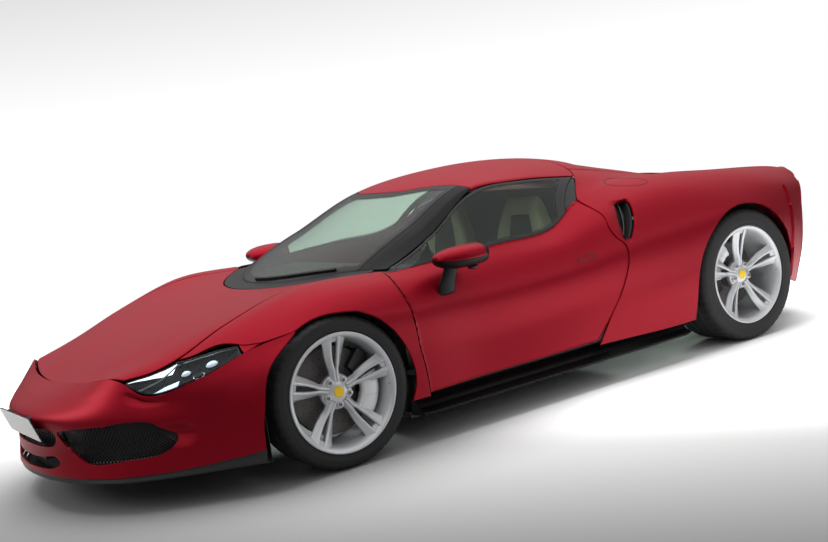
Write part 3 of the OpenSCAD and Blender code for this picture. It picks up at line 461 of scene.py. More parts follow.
def mirrored(grid):
    """Left half, first index outwards from the centre line, joined to its mirror image."""
    return np.concatenate([grid[:0:-1] * FLIP, grid])


# %% [markdown]
# ## Bonnet, fenders, roof
# Every outline is a smooth line through the seam points, so a shut gap curves as it does on the car.

# %% Upper panels
def back_edge(d):
    return [(-15 - d, 0), (-30 - d, 145), (-70 - d, 280), (-133 - d, 405), (-213 - d, 520), (-288 - d, 612), (-350 - d, 672)]


def seam_front(n):
    """The bonnet's front edge runs 6 mm and more behind the bumper's upper edge."""
    q = np.linspace(0, 1.96, 12)
    w = nose(np.zeros(12), q)
    return pq(seek(side, w[:, 0] - (6 + 4.5 * q) * MM, w[:, 1] - q * MM, 1, np.minimum(1.6, w[:, 1] / 0.42),
                   np.full(12, 0.1)))


n_out, n_long = 44, 90
bonnet_w = coons(curve(side, u1([(962, 0), (500, 0), (-15, 0)]), n_long),
                 curve(side, u1([(830, 592), (740, 640), (620, 669), (430, 668), (200, 655), (-60, 655), (-300, 668),
                                 (-350, 672)]), n_long),
                 curve(side, seam_front(12), n_out), curve(side, u1(back_edge(0)), n_out))
bonnet = skin("bonnet_skin", [mirrored(on(side, bonnet_w))], paint, "bonnet", "paint", ["bonnet"])

fender_cut = curve(side, u1([(-213, 667)]) + u2([(-238, 775), (-262, 690), (-280, 610), (-289, 556)]), 34)
fender_w = [coons(
    curve(side, u1([(612, 679), (430, 676), (200, 663), (-60, 663), (-213, 667)]), 76),
    curve(side, u2(FRONT_ARCH[:7]), 76),
    curve(side, u1([(612, 679), (565, 707)]) + u2([(460, 645), (368, 630), (185, 650.6)]), 34), fender_cut)]
door_line = curve(side, u1([(-355, 683)]) + u2([(-386, 797), (-380, 745), (-396, 640), (-415, 485), (-434, 361),
                                               (-442, 260), (-442, 214)]), 64, corners=(1,))
arch_rear = curve(side, u2(FRONT_ARCH[6:]), 30)
fender_w.append(coons(curve(side, u1([(-213, 667), (-300, 676), (-355, 683)]), 16),
                      curve(side, u2([(-344, 216), (-442, 214)]), 16),
                      np.concatenate([fender_cut, arch_rear[1:]]), door_line))
fenders = skin("front_fender_skins", [on(side, w) for w in fender_w], paint, "body", "paint", ["front_fenders"],
               both=True)

def screen_top(p):
    """q of the line between windscreen and roof: forward in the middle, back at the pillars."""
    w = np.clip((np.abs(p) - .30) / .58, 0, 1)
    return 5.80 + .19 * w * w * (3 - 2 * w)


p_roof = np.concatenate([np.linspace(0, .9, 26), np.linspace(.92, 1.043, 8)])[:, None]
roof = skin("roof_skin", [mirrored(side(p_roof, screen_top(p_roof) + .01 + (7.99 - screen_top(p_roof)) * np.linspace(0, 1, 54)[None]))], paint, "body", "paint", ["roof"],
            thick=0.016)
print("upper panels made")

# %% [markdown]
# ## Doors and quarter panels
# The door is 80 mm thick at its middle and thins towards the glass, so its wall is laid point by point:
# the inner face is the outer grid moved straight in by a depth that depends on the row.

# %% Doors
def thick_panel(name, grid, depth, material, body, slot, replaces, s):
    """Outer grid plus inner grid moved along Y by depth(row), closed round the rim."""
    n, m = grid.shape[:2]
    inner = grid.copy()
    inner[..., 1] -= depth[:, None]
    v = np.concatenate([grid.reshape(-1, 3), inner.reshape(-1, 3)]) * np.array([1, s, 1])
    ring = np.concatenate([np.arange(m), np.arange(1, n) * m + m - 1, (n - 1) * m + np.arange(m - 2, -1, -1),
                           np.arange(n - 2, 0, -1) * m])
    nxt = np.roll(ring, -1)
    rim = np.stack([ring, nxt, nxt + n * m, ring + n * m], axis=-1)
    flip = outward(grid * np.array([1, s, 1]))
    f = [quads(n, m, flip=not flip), quads(n, m, offset=n * m, flip=flip), rim[:, ::-1] if flip else rim]
    obj = mesh_piece(name, v, f, material, body, slot, replaces)
    roll_edge(obj, 0.0025)
    return obj


door_top = pq([tuple(hits(side, [(-392, 792, 2)], 2.3)[0]), (2, 5), (2, 7.98)])
door_w = coons(curve(side, door_top, 100, 2.3),
               curve(side, u2([(-449, 236), (-780, 236), (-1100, 236), (-1489, 240)]), 100),
               curve(side, door_top[:1] + u2(DOOR_FRONT), 60),
               curve(side, pq([(2, 7.98)]) + u2(DOOR_REAR), 60))
door_grid = on(side, door_w)
door_depth = np.interp(np.linspace(0, 9, 61), range(10), [28, 38, 48, 58, 66, 72, 78, 80, 80, 80]) * MM
for tag, s in (("left", 1), ("right", -1)):
    thick_panel(f"door_{tag}_skin", door_grid, door_depth, paint, f"door_{tag}", "paint", [f"door_{tag}"], s)

# %% Quarter panels
DOOR_SEAM = [(-1675, 892), (-1695, 845), (-1683, 780), (-1697, 735), (-1741, 682), (-1742, 616), (-1696, 480),
             (-1596, 340), (-1500, 212)]
quarter_bottom = u2([(-1500, 212), (-1800, 202), (-2166, 200)])
c1 = curve(side, pq([(.86, 9.6)]) + u2([(-2170, 900), (-2166, 560), (-2166, 200)]), 150)
c2 = curve(side, pq([(.86, 10.9)]) + u2([(-3010, 840), (-3020, 520), (-2975, 260)]), 150)
c0 = curve(side, pq([(.86, 8.012), (1.06, 8.012), (2, 8.02)]) + u2(DOOR_SEAM), 150, corners=(3, 11))
c3 = curve(side, pq([(.86, 11.86), (2, 11.93), (6, 11.93)]), 150)
quarter_w = [coons(curve(side, pq([(.86, 8.012), (.86, 9.6)]), 110), curve(side, quarter_bottom, 110), c0, c1),
             coons(curve(side, pq([(.86, 9.6), (.86, 10.9)]), 64), curve(side, u2(REAR_ARCH), 64), c1, c2),
             coons(curve(side, pq([(.86, 10.9), (.86, 11.86)]), 20), curve(side, u2([(-2975, 260), (-3075, 232)]), 20),
                   c2, c3)]


def scoop_space(points):
    """Side intake: (along, up) of a point, from 0 at the dent's start to 1 at its lip, the lip leaning rearwards
    as it rises, and from 0 at the foot to 1 at the top."""
    u, z = (X_FRONT - points[..., 0]) / MM, points[..., 2] / MM
    up = (z - 688) / (896 - 688)
    lip = 1800 + 118 * np.clip(up, -.2, 1.2) - 22 * (2 * np.clip(up, 0, 1) - 1) ** 2
    start = np.interp(up, [0, .15, .6, 1], [1742, 1712, 1700, 1760])
    return (u - start) / (lip - start), up, u - lip


wall_width = 7.0
along, up_in, behind = scoop_space(on(side, quarter_w[0]))
columns = []
for row_along, row_behind in zip(along, behind):
    start, foot, lip = (np.interp(v, row, np.arange(len(row))) for v, row in
                        ((0, row_along), (-wall_width, row_behind), (0, row_behind)))
    columns.append(np.concatenate([np.linspace(0, start, 26), np.linspace(start, foot, 26)[1:],
                                   np.linspace(foot, lip, 6)[1:], np.linspace(lip, 110, 66)[1:]]))
quarter_w[0] = np.stack([np.stack([np.interp(j, np.arange(111), row[:, k]) for k in (0, 1)], axis=-1)
                         for j, row in zip(columns, quarter_w[0])])
along, up_in, behind = scoop_space(on(side, quarter_w[0]))
rise = np.clip(along, 0, 1)
dive = 62 * rise ** 1.6 * np.clip(1 - (behind + wall_width) / wall_width, 0, 1)
dive *= np.clip(np.minimum(up_in, 1 - up_in) / .10, 0, 1) ** .7 * ((up_in > 0) & (up_in < 1))
q_front = on(side, quarter_w[0])
q_front = q_front - np.array([0, 1, 0]) * (dive * MM)[..., None]
mesh_zone = (along > .34 + .5 * np.abs(up_in - .5) ** 3) & (behind < -1.2) & (up_in > .05) & (up_in < .95)
corner_zone = mesh_zone[:-1, :-1] & mesh_zone[1:, :-1] & mesh_zone[:-1, 1:] & mesh_zone[1:, 1:]
quarter_grid = np.concatenate([q_front, on(side, quarter_w[1])[:, 1:], on(side, quarter_w[2])[:, 1:]], axis=1)
open_cells = np.zeros((quarter_grid.shape[0] - 1, quarter_grid.shape[1] - 1), bool)
open_cells[:, :corner_zone.shape[1]] = corner_zone
skin("quarter_skins", [quarter_grid], paint, "body", "paint", ["quarter_panels"], masks=[~open_cells], both=True)
rows, columns = [np.nonzero(corner_zone.any(axis=k))[0] for k in (1, 0)]
mesh_rows, mesh_columns = slice(rows[0] - 1, rows[-1] + 3), slice(columns[0] - 1, columns[-1] + 3)
intake_grid = q_front[mesh_rows, mesh_columns] - np.array([0, .016, 0])
bar_at = intake_grid.shape[1] // 2
skin("intake_bars", [intake_grid[3:-3, bar_at:bar_at + 2] + np.array([0, .006, 0])], alloy_dark, "body", "steel",
     thick=0.003, bevel=0, both=True)
skin("intake_back_panels", [intake_grid - np.array([0, .012, 0])], black_matt, "body", "black", thick=0.003, bevel=0,
     both=True)

# %% Engine lid, rear window, rear bumper
lid_p = np.concatenate([np.linspace(0, .35, 11), np.linspace(.35, .7, 12)[1:], np.linspace(.7, .844, 7)[1:]])
lid_q = np.concatenate([np.linspace(8.021, 8.3, 8), np.linspace(8.3, 10.3, 50)[1:], np.linspace(10.3, 11.86, 40)[1:]])
half = side(lid_p[:, None], lid_q[None])
lid_grid = mirrored(half)
mid = lid_p[:-1] + np.diff(lid_p) / 2
cell_p = np.concatenate([mid[::-1], mid])[:, None]
cell_q = (lid_q[:-1] + np.diff(lid_q) / 2)[None]
window = (cell_p < 0.70) & (cell_q > 8.3) & (cell_q < 10.3)
skin("engine_lid_skin", [lid_grid], paint, "engine_lid", "paint", ["engine_lid"], masks=[~window])
p_w = np.linspace(0, .7, 24)
rear_glass = mirrored(side(p_w[:, None], np.linspace(8.3, 10.3, 50)[None])) - np.array([0, 0, 0.0105])
skin("rear_window_pane", [rear_glass], side_glass, "engine_lid", "glass", ["rear_window"], thick=0.004, bevel=0)

tp, tq = np.linspace(0, 3, 60)[:, None], np.linspace(0, 4, 60)[None]
tail_half = tail(tp, tq)
tail_grid = mirrored(tail_half)
tmid = (tp[:-1, 0] + tp[1:, 0]) / 2
tcell = np.concatenate([tmid[::-1], tmid])[:, None]
tcq = ((tq[0, :-1] + tq[0, 1:]) / 2)[None]
left_side = np.concatenate([np.full(59, -1), np.full(59, 1)])[:, None]
lamp_hole = (tcell > 1.7) & (tcell < 2.98) & (tcq > .42) & (tcq < .95)
pipe_hole = (tcell < .35) & (tcq > 2.3) & (tcq < 2.9)
skin("rear_bumper_skin", [tail_grid], paint, "body", "paint", ["rear_bumper"], masks=[~(lamp_hole | pipe_hole)])
lamp_p = np.linspace(1.66, 3, 20)[:, None]
lamp_pane = tail(lamp_p, np.linspace(.38, 1.0, 14)[None]) + np.array([0.0115, 0, 0])
skin("tail_lamp_lenses", [lamp_pane], red_lens, "body", "red_lens", ["tail_lamps"], thick=0.012, bevel=0.001, both=True)
print("rear panels made")

# %% [markdown]
# ## Nose and bumper
# The bumper is one large moulding. Its grille openings are cut where the photograph shows them: grid
# points near the outline are drawn onto it, then the cells inside are dropped, so the rim is clean.

# %% Bumper
def inside(points, loop):
    """Even-odd test of many points against one closed polygon, as arrays."""
    a, b = loop, np.roll(loop, -1, axis=0)
    x, y = points[..., 0, None], points[..., 1, None]
    cross = (a[:, 1] > y) != (b[:, 1] > y)
    with np.errstate(divide="ignore", invalid="ignore"):
        at = (b[:, 0] - a[:, 0]) * (y - a[:, 1]) / (b[:, 1] - a[:, 1]) + a[:, 0]
    return (cross & (x < at)).sum(-1) % 2 == 1


def nearest(points, loop):
    """Closest point of a closed polygon to each point, and its distance."""
    a, b = loop, np.roll(loop, -1, axis=0)
    ab = b - a
    t = np.clip(((points[..., None, :] - a) * ab).sum(-1) / np.maximum((ab * ab).sum(-1), 1e-12), 0, 1)
    c = a + t[..., None] * ab
    d = np.linalg.norm(points[..., None, :] - c, axis=-1)
    k = d.argmin(-1)
    return np.take_along_axis(c, k[..., None, None], -2)[..., 0, :], d.min(-1)


def cut(params, loops, scale):
    """Draws grid parameters near each outline onto it. Returns moved parameters and quads or triangles
    outside the outlines. scale turns a parameter step into cells, so near means half a cell."""
    w = params.copy()
    held = np.zeros(w.shape[:2], bool)
    for loop in loops:
        spot, far = nearest(w * scale, loop * scale)
        near = (far < 0.5) & ~held
        w[near] = (spot / scale)[near]
        held |= near
    n, m = w.shape[:2]
    f = quads(n, m)
    flat, fixed = w.reshape(-1, 2), held.reshape(-1)
    hole = lambda c: np.any([inside(c, lp) for lp in loops], axis=0)
    a, b, c, d = f.T
    touched = fixed[f].any(1)
    solid = f[~touched & ~hole(flat[f].mean(1))]
    g = f[touched]
    a, b, c, d = g.T
    ac = fixed[a] & fixed[c]
    t1 = np.where(ac[:, None], np.stack([a, b, c], 1), np.stack([a, b, d], 1))
    t2 = np.where(ac[:, None], np.stack([a, c, d], 1), np.stack([b, c, d], 1))
    tri = np.concatenate([t1, t2])
    tri = tri[~hole(flat[tri].mean(1))]
    return w, [solid, tri]


def smooth_loop(points, n=160):
    """Closed smooth outline through a few points, all equally spaced."""
    k = np.array(points, float)
    g = np.concatenate([k[-1:], k, k[:2]])
    t = np.linspace(0, 1, 20, endpoint=False)[:, None]
    fine = np.concatenate([cubic(*[g[i + a] for a in range(4)], t, 0.0, 0.0) for i in range(len(k))])
    d = np.concatenate([[0], np.cumsum(np.linalg.norm(np.diff(np.concatenate([fine, fine[:1]]), axis=0), axis=1))])
    s = np.linspace(0, d[-1], n, endpoint=False)
    fine = np.concatenate([fine, fine[:1]])
    return np.stack([np.interp(s, d, fine[:, k2]) for k2 in range(fine.shape[1])], axis=-1)


def cut_skin(name, surface, params, loops, scale, material, body, slot, replaces=(), thick=0.010, shift=None,
             double=True, bevel=0.003):
    """A half grid with openings, joined to its mirror image along the centre line."""
    w, faces = cut(params, loops, scale)
    g = on(surface, w)
    if shift is not None:
        g = g + shift
    v = g.reshape(-1, 3)
    flip = outward(g)
    one = [f[:, ::-1] if flip else f for f in faces]
    if double:
        other = [(f[:, ::-1] if not flip else f) + len(v) for f in faces]
        obj = mesh_piece(name, np.concatenate([v, v * FLIP]), one + other, material, body, slot, replaces)
    else:
        obj = mesh_piece(name, v, one, material, body, slot, replaces)
    clean(obj)
    weld = obj.modifiers.new("weld", "WELD")
    weld.merge_threshold = 0.00005
    wall = obj.modifiers.new("wall", "SOLIDIFY")
    wall.thickness, wall.offset, wall.use_even_offset = thick, -1, False
    if bevel:
        roll_edge(obj, bevel, 3)
    return obj


nose_p, nose_q = np.linspace(0, 4, 110), np.linspace(0, 6, 190)
nose_w = np.stack(np.meshgrid(nose_p, nose_q, indexing="ij"), axis=-1)
nose_scale = np.array([109 / 4, 189 / 6])
GRILLE = smooth_loop([(2.42, 1.02), (2.3, 1.3), (2.2, 1.8), (2.08, 2.4), (2.12, 2.68), (2.5, 2.9), (3.0, 3.03),
                      (3.2, 2.92), (3.38, 2.7), (3.45, 2.1), (3.49, 1.5), (3.3, 1.35), (3.0, 1.2), (2.75, 1.05)])
MOUTH = smooth_loop([(2.36, .12), (2.36, .5), (2.38, .88), (2.65, .92), (2.9, .82), (2.98, .5), (2.98, .12), (2.98, -.2),
                     (2.36, -.2)], 120)
LIP_SLOT = smooth_loop([(3.42, .16), (3.36, .5), (3.3, .84), (3.55, .92), (3.74, .72), (3.8, .4), (3.82, .16), (3.8, -.2),
                        (3.4, -.2)], 120)


def dent(w, spots):
    """Inward depth at each parameter point: smooth bumps (p, q, half-size p, half-size q, depth in mm)."""
    depth = np.zeros(w.shape[:-1])
    for p0, q0, a, b, mm in spots:
        r = np.hypot((w[..., 0] - p0) / a, (w[..., 1] - q0) / b)
        depth += mm * MM * np.where(r < 1, (1 - np.minimum(r, 1) ** 2) ** 2, 0)
    return depth


def normal_of(surface, w, h=0.004):
    """Unit normals on parameters, pointing away from the car."""
    a = on(surface, w)
    dp = surface(w[..., 0] + h, w[..., 1]) - surface(w[..., 0] - h, w[..., 1])
    dq = surface(w[..., 0], w[..., 1] + h) - surface(w[..., 0], w[..., 1] - h)
    n = np.cross(dp, dq)
    n /= np.maximum(np.linalg.norm(n, axis=-1, keepdims=True), 1e-9)
    c = a - np.array([0, 0, 0.45])
    c[..., 0] *= 0.35
    return n * np.sign((n * c).sum(-1).mean())


bumper_w, bumper_faces = cut(nose_w, [GRILLE, MOUTH, LIP_SLOT], nose_scale)
scoop = dent(bumper_w, [(2.75, 3.12, .62, .5, 26), (.85, 2.7, .6, .75, 13), (2.5, .9, .5, .5, 8)])
bumper_grid = on(nose, bumper_w) - normal_of(nose, bumper_w) * scoop[..., None]
flip = outward(bumper_grid)
bumper_v = bumper_grid.reshape(-1, 3)
halves = [f[:, ::-1] if flip else f for f in bumper_faces] + [
    (f if flip else f[:, ::-1]) + len(bumper_v) for f in bumper_faces]
bumper = mesh_piece("front_bumper_skin", np.concatenate([bumper_v, bumper_v * FLIP]), halves, paint, "body", "paint",
                    ["front_bumper"])
clean(bumper)
weld = bumper.modifiers.new("weld", "WELD")
weld.merge_threshold = 0.0001
wall = bumper.modifiers.new("wall", "SOLIDIFY")
wall.thickness, wall.offset, wall.use_even_offset = 0.010, -1, False
roll_edge(bumper, 0.0035, 3)

# %% [markdown]
# ## Grille mesh
# Behind the openings lies a woven-looking plastic mesh. It is drawn as real bars: two families of
# narrow strips over the same nose surface, set back from it, so that light catches their edges.

# %% Grille
def strips(surface, starts, ends, width, depth, back_off, samples=14):
    """Bars along straight parameter lines: rectangular section, the outer face set back from the skin."""
    s = np.linspace(0, 1, samples)[None, :, None]
    w = starts[:, None] * (1 - s) + ends[:, None] * s
    n = normal_of(surface, w)
    c = on(surface, w) - n * back_off
    t = np.gradient(c, axis=1)
    t /= np.maximum(np.linalg.norm(t, axis=-1, keepdims=True), 1e-9)
    b = np.cross(n, t)
    ring = np.stack([c + b * width / 2, c - b * width / 2, c - b * width / 2 - n * depth, c + b * width / 2 - n * depth],
                    axis=2)
    k, m = ring.shape[:2]
    one = quads(m, 4, close_j=True)
    caps = np.array([[3, 2, 1, 0], [(m - 1) * 4, (m - 1) * 4 + 1, (m - 1) * 4 + 2, (m - 1) * 4 + 3]])
    f = np.concatenate([one, caps])
    return ring.reshape(-1, 3), (f[None] + np.arange(k)[:, None, None] * m * 4).reshape(-1, 4)


def hatch(box, pitch_q, slope):
    """Slanting lines that fill a parameter box."""
    p0, p1, q0, q1 = box
    q = np.arange(q0 - abs(slope), q1 + abs(slope), pitch_q)
    a, b = np.stack([np.full_like(q, p0), q - slope / 2], -1), np.stack([np.full_like(q, p1), q + slope / 2], -1)
    good = (np.minimum(a[:, 1], b[:, 1]) < q1 - .05) & (np.maximum(a[:, 1], b[:, 1]) > q0 + .05)
    a, b = a[good], b[good]
    for w in (a, b):
        w[:, 1] = np.clip(w[:, 1], q0, q1)
    return a, b


parts_v, parts_f, count = [], [], 0
for box in ((2.02, 3.56, 1.0, 3.12), (2.3, 3.05, 0.0, 1.0)):
    for slope in (0.62, -0.62):
        v, f = strips(nose, *hatch(box, 0.058, slope * (box[1] - box[0]) / 1.5), 0.0042, 0.006, 0.026)
        for sign in (1, -1):
            parts_v.append(v * np.array([1, sign, 1]))
            parts_f.append((f if sign > 0 else f[:, ::-1]) + count)
            count += len(v)
grille = mesh_piece("grille_mesh", np.concatenate(parts_v), parts_f, black_gloss, "body", "black", ["grilles"])
back_w = np.stack(np.meshgrid(np.linspace(1.9, 3.95, 24), np.linspace(0, 3.2, 40), indexing="ij"), axis=-1)
back_half = on(nose, back_w) - normal_of(nose, back_w) * 0.060
skin("grille_back_panel", [back_half[:, :, :]], black_matt, "body", "black", thick=0.004, bevel=0, both=True)

lower_w = np.stack(np.meshgrid(np.linspace(4.02, 5, 12), np.linspace(0, 6, 130), indexing="ij"), axis=-1)
lower = on(nose, lower_w)
splitter = skin("splitter_skin", [lower], carbon, "body", "carbon", thick=0.010, bevel=0.002, both=True)
print("nose made")

# %% [markdown]
# ## Glass
# Car glass is thin, slightly green, and printed black round its rim. The print is an attribute on the
# mesh, so that one pane stays one piece: 1 at the rim, 0 on the clear field.

# %% Windscreen and door glass
def pane(name, grids, band, material, body, slot, replaces, thick=0.005, flat=None, both=False):
    """A glass sheet with its printed rim: band = widths in metres at i low, i high, j low, j high."""
    obj = skin(name, grids, material, body, slot, replaces, thick=0, bevel=0, both=both)
    values = []
    for g in grids:
        n, m = g.shape[:2]
        di = np.concatenate([np.zeros((1, m)), np.cumsum(np.linalg.norm(np.diff(g, axis=0), axis=-1), axis=0)])
        dj = np.concatenate([np.zeros((n, 1)), np.cumsum(np.linalg.norm(np.diff(g, axis=1), axis=-1), axis=1)], axis=1)
        edge = np.minimum.reduce([di - band[0], di[-1:] - di - band[1], dj - band[2], dj[:, -1:] - dj - band[3]])
        one = np.clip(0.5 - edge / 0.006, 0, 1).reshape(-1)
        values += [one, one] if both else [one]
    layer = obj.data.attributes.new("frit", "FLOAT", "POINT")
    layer.data.foreach_set("value", np.concatenate(values).astype(np.float32))
    wall = obj.modifiers.new("wall", "SOLIDIFY")
    wall.thickness, wall.offset, wall.use_even_offset = thick, -1, False
    return obj


screen_p = np.linspace(0, .8885, 40)[:, None]
screen_half = side(screen_p, 4.035 + (screen_top(screen_p) - 4.035) * np.linspace(0, 1, 60)[None])
pane("windscreen_pane", [mirrored(screen_half)], (.030, .030, .045, .050), windscreen_glass, "body", "glass",
     ["windscreen"])
top_line = curve(side, pq([(1.53, 4.06), (1.091, 6), (1.091, 7.965)]), 90, 2.0)
bottom_line = curve(side, door_top, 100, 2.3)[1:92]
g_s = np.linspace(0, 1, 30)[:, None, None]
glass_w = (1 - g_s) * top_line[None] + g_s * bottom_line[None]
glass_grid = on(side, glass_w)
glass_grid[-1] = door_grid[0, 1:92] + np.array([0, 0, 0.0004])
for tag, s in (("left", 1), ("right", -1)):
    pane(f"door_glass_{tag}_pane", [glass_grid * np.array([1, s, 1])], (.016, .026, .030, .085), side_glass,
         f"door_{tag}", "glass", [f"door_glass_{tag}"])

pillar_t = np.linspace(0, 1, 10)[:, None]
pillar_q = np.linspace(4.035, 5.989, 60)[None]
pillar_out = 1.475 + (1.043 - 1.475) * (pillar_q - 4) / 2
pillar_grid = side(.89 + (pillar_out - .89) * pillar_t, pillar_q)
skin("pillar_covers", [pillar_grid], black_satin, "body", "black", thick=0.012, bevel=0.002, both=True)
cowl_corner = tuple(hits(side, [(-358, 672, 1)])[0])
cowl_w = coons(curve(side, u1([(-23, 0), (-112, 0)]), 16), curve(side, pq([cowl_corner, (1.0, 4.033)]), 16),
               curve(side, u1(back_edge(8)), 60), curve(side, pq([(0, 4.033), (1, 4.033)]), 60))
cowl = skin("cowl_cover", [mirrored(on(side, cowl_w))], black_matt, "body", "black", ["pillars"], thick=0.010,
            bevel=0.002)
print("glass made")

# %% [markdown]
# ## Lamps, mirrors and trim
# A headlamp is a clear cover over a black bowl. In the bowl lie a white light band at the front, a grey
# strut across it, two lamp modules, a projector and bright strips. A mirror is a red cap on a black
# shell and stalk. The side blades, the bare number plate and thin seams follow the same measured lines.

# %% Lamps, mirrors, blades, plate and seams
def car(u, y, z):
    """Point from mm behind or before the front axle, mm from the middle line, mm from the ground."""
    u, y, z = np.broadcast_arrays(np.asarray(u, float), y, z)
    return np.stack([u / 1000 + 1.1525, y / 1000, z / 1000], axis=-1)


def lifted(grid, height):
    """Grid moved along its outward normal; height in metres, a number or one for each point."""
    n = np.cross(np.gradient(grid, axis=0), np.gradient(grid, axis=1))
    n /= np.linalg.norm(n, axis=-1, keepdims=True) + 1e-12
    return grid + n * (1 if outward(grid) else -1) * np.asarray(height)[..., None]


def tube(name, g, material, body, slot, replaces=(), caps=True, loop=False, closed=True, smooth=True):
    """Sections (k, m, 3) to a skin that faces away from its own middle."""
    k, m = g.shape[:2]
    faces = [quads(k, m, close_i=loop, close_j=closed)]
    if caps:
        faces += [np.arange(m)[None], np.arange((k - 1) * m, k * m)[None, ::-1]]
    n = np.cross(g[1:, :-1] - g[:-1, :-1], g[:-1, 1:] - g[:-1, :-1])
    middle = g.mean(axis=1, keepdims=True) if loop else g.reshape(-1, 3).mean(axis=0)
    if (n * (g[:-1, :-1] - (middle[:-1] if loop else middle))).sum() < 0:
        faces = [f[:, ::-1] for f in faces]
    return mesh_piece(name, g, faces, material, body, slot, replaces, smooth)


lamp_top = curve(side, u1([(836, 603), (740, 648), (615, 679), (560, 715), (470, 765), (392, 815)]), 160, 1.6,
                 smooth=False)


def lamp(t, s):
    """Headlamp surface: t from the bonnet's edge to the bumper's, s from the tip backwards."""
    t, s = np.broadcast_arrays(np.asarray(t, float), np.asarray(s, float))
    a = side(*[np.interp(s * 160, np.arange(161), lamp_top[:, i]) for i in (0, 1)])
    return a + (nose(np.zeros_like(s), 2.1 + 2.8 * s) - a) * t[..., None]


cover_t, cover_s = np.linspace(.05, .93, 26)[:, None], np.linspace(.01, .985, 70)[None]
cover = lamp(cover_t, cover_s)
pane("headlamp_covers", [cover], (.003, .003, .006, .006), lamp_glass, "body", "glass", ["headlamp_lenses"],
     thick=0.0025, both=True)
sunk = (1 - np.abs(2 * (cover_t - .05) / .88 - 1) ** 6) * (1 - np.abs(2 * cover_s - 1) ** 10)
skin("headlamp_bowls", [lifted(cover, -.0045 - .030 * sunk)], black_satin, "body", "black", ["headlamps"],
     thick=0.003, bevel=0, both=True)


def in_lamp(name, corners, depth, material):
    """A plate in the lamp between four corners (t, s), set back by depth."""
    c = np.array(corners, float).reshape(2, 2, 2)
    i, j = np.linspace(0, 1, 6)[:, None, None], np.linspace(0, 1, 30)[None, :, None]
    w = (1 - i) * ((1 - j) * c[0, 0] + j * c[0, 1]) + i * ((1 - j) * c[1, 0] + j * c[1, 1])
    skin(name, [lifted(lamp(w[..., 0], w[..., 1]), -depth)], material, "body", "lens", thick=0.003, bevel=0.0008,
         both=True)


in_lamp("daylight_bands", [(.07, .02), (.09, .475), (.17, .02), (.38, .468)], .008, led_white)
in_lamp("lamp_struts", [(.12, .475), (.93, .20), (.12, .505), (.93, .245)], .006, alloy_dark)
in_lamp("lamp_top_strips", [(.075, .52), (.09, .96), (.115, .52), (.14, .95)], .007, chrome)
in_lamp("lamp_low_strips", [(.74, .44), (.68, .54), (.89, .38), (.87, .54)], .010, led_soft)


def dome(name, t, s, a, b, h, depth, material, rim=0.0):
    """Half ellipsoid on the lamp's floor with half axes a along it and b across, height h, in mm."""
    e = np.stack([lamp(t, s), lamp(t, s + .02), lamp(t + .04, s)])
    e1 = (e[1] - e[0]) / np.linalg.norm(e[1] - e[0])
    n = np.cross(e1, e[2] - e[0])
    n *= np.sign(n[0] + n[2]) / np.linalg.norm(n)
    f, r = np.linspace(.06, math.pi / 2, 9)[:, None, None], np.linspace(0, 2 * math.pi, 28, endpoint=False)[None, :, None]
    flat = np.sin(f) * (a * np.cos(r) * e1 + b * np.sin(r) * np.cross(n, e1)) + h * np.cos(f) * n
    for tag, sign in (("left", 1), ("right", -1)):
        tube(f"{name}_{tag}", (e[0] - depth * n + flat * MM) * np.array([1, sign, 1]), material, "body", "lens")


for name, t, s, a, b in (("lamp_module_front", .42, .56, 17, 10), ("lamp_module_rear", .42, .76, 23, 12),
                         ("lamp_projector", .70, .67, 22, 13)):
    dome(name + "_bezel", t, s, a + 5, b + 5, 4, .026, chrome)
    dome(name, t, s, a, b, 9, .023, black_gloss if "projector" in name else led_soft)

corner_fill = side(np.linspace(2.45, 2.95, 14)[:, None], np.linspace(1.93, 2.24, 14)[None])
skin("lamp_corner_fillers", [lifted(corner_fill, -.0035)], paint, "body", "paint", thick=0.003, bevel=0, both=True)

# mirrors
ring_at = np.linspace(0, 2 * math.pi, 48, endpoint=False)


def oval(angle, a, b):
    c, d = np.cos(angle), np.sin(angle)
    return a * np.sign(c) * np.abs(c) ** .85, b * np.sign(d) * np.abs(d) ** .85


def housing(angle, grow, u):
    """Mirror shell: rings along the car, full at the back and rounded off at the front."""
    size = np.interp(u, [-790, -752, -700, -655, -615, -582, -564, -555], [.93, .98, 1, .95, .82, .6, .38, .15])
    dy, dz = oval(angle[None], 103 * size[:, None] + grow, 52 * size[:, None] + grow)
    tilt = 8 * (1 - size[:, None]) + dy * .06
    return car(u[:, None], 981 - 16 * (1 - size[:, None]) + dy, 814 + tilt + dz)


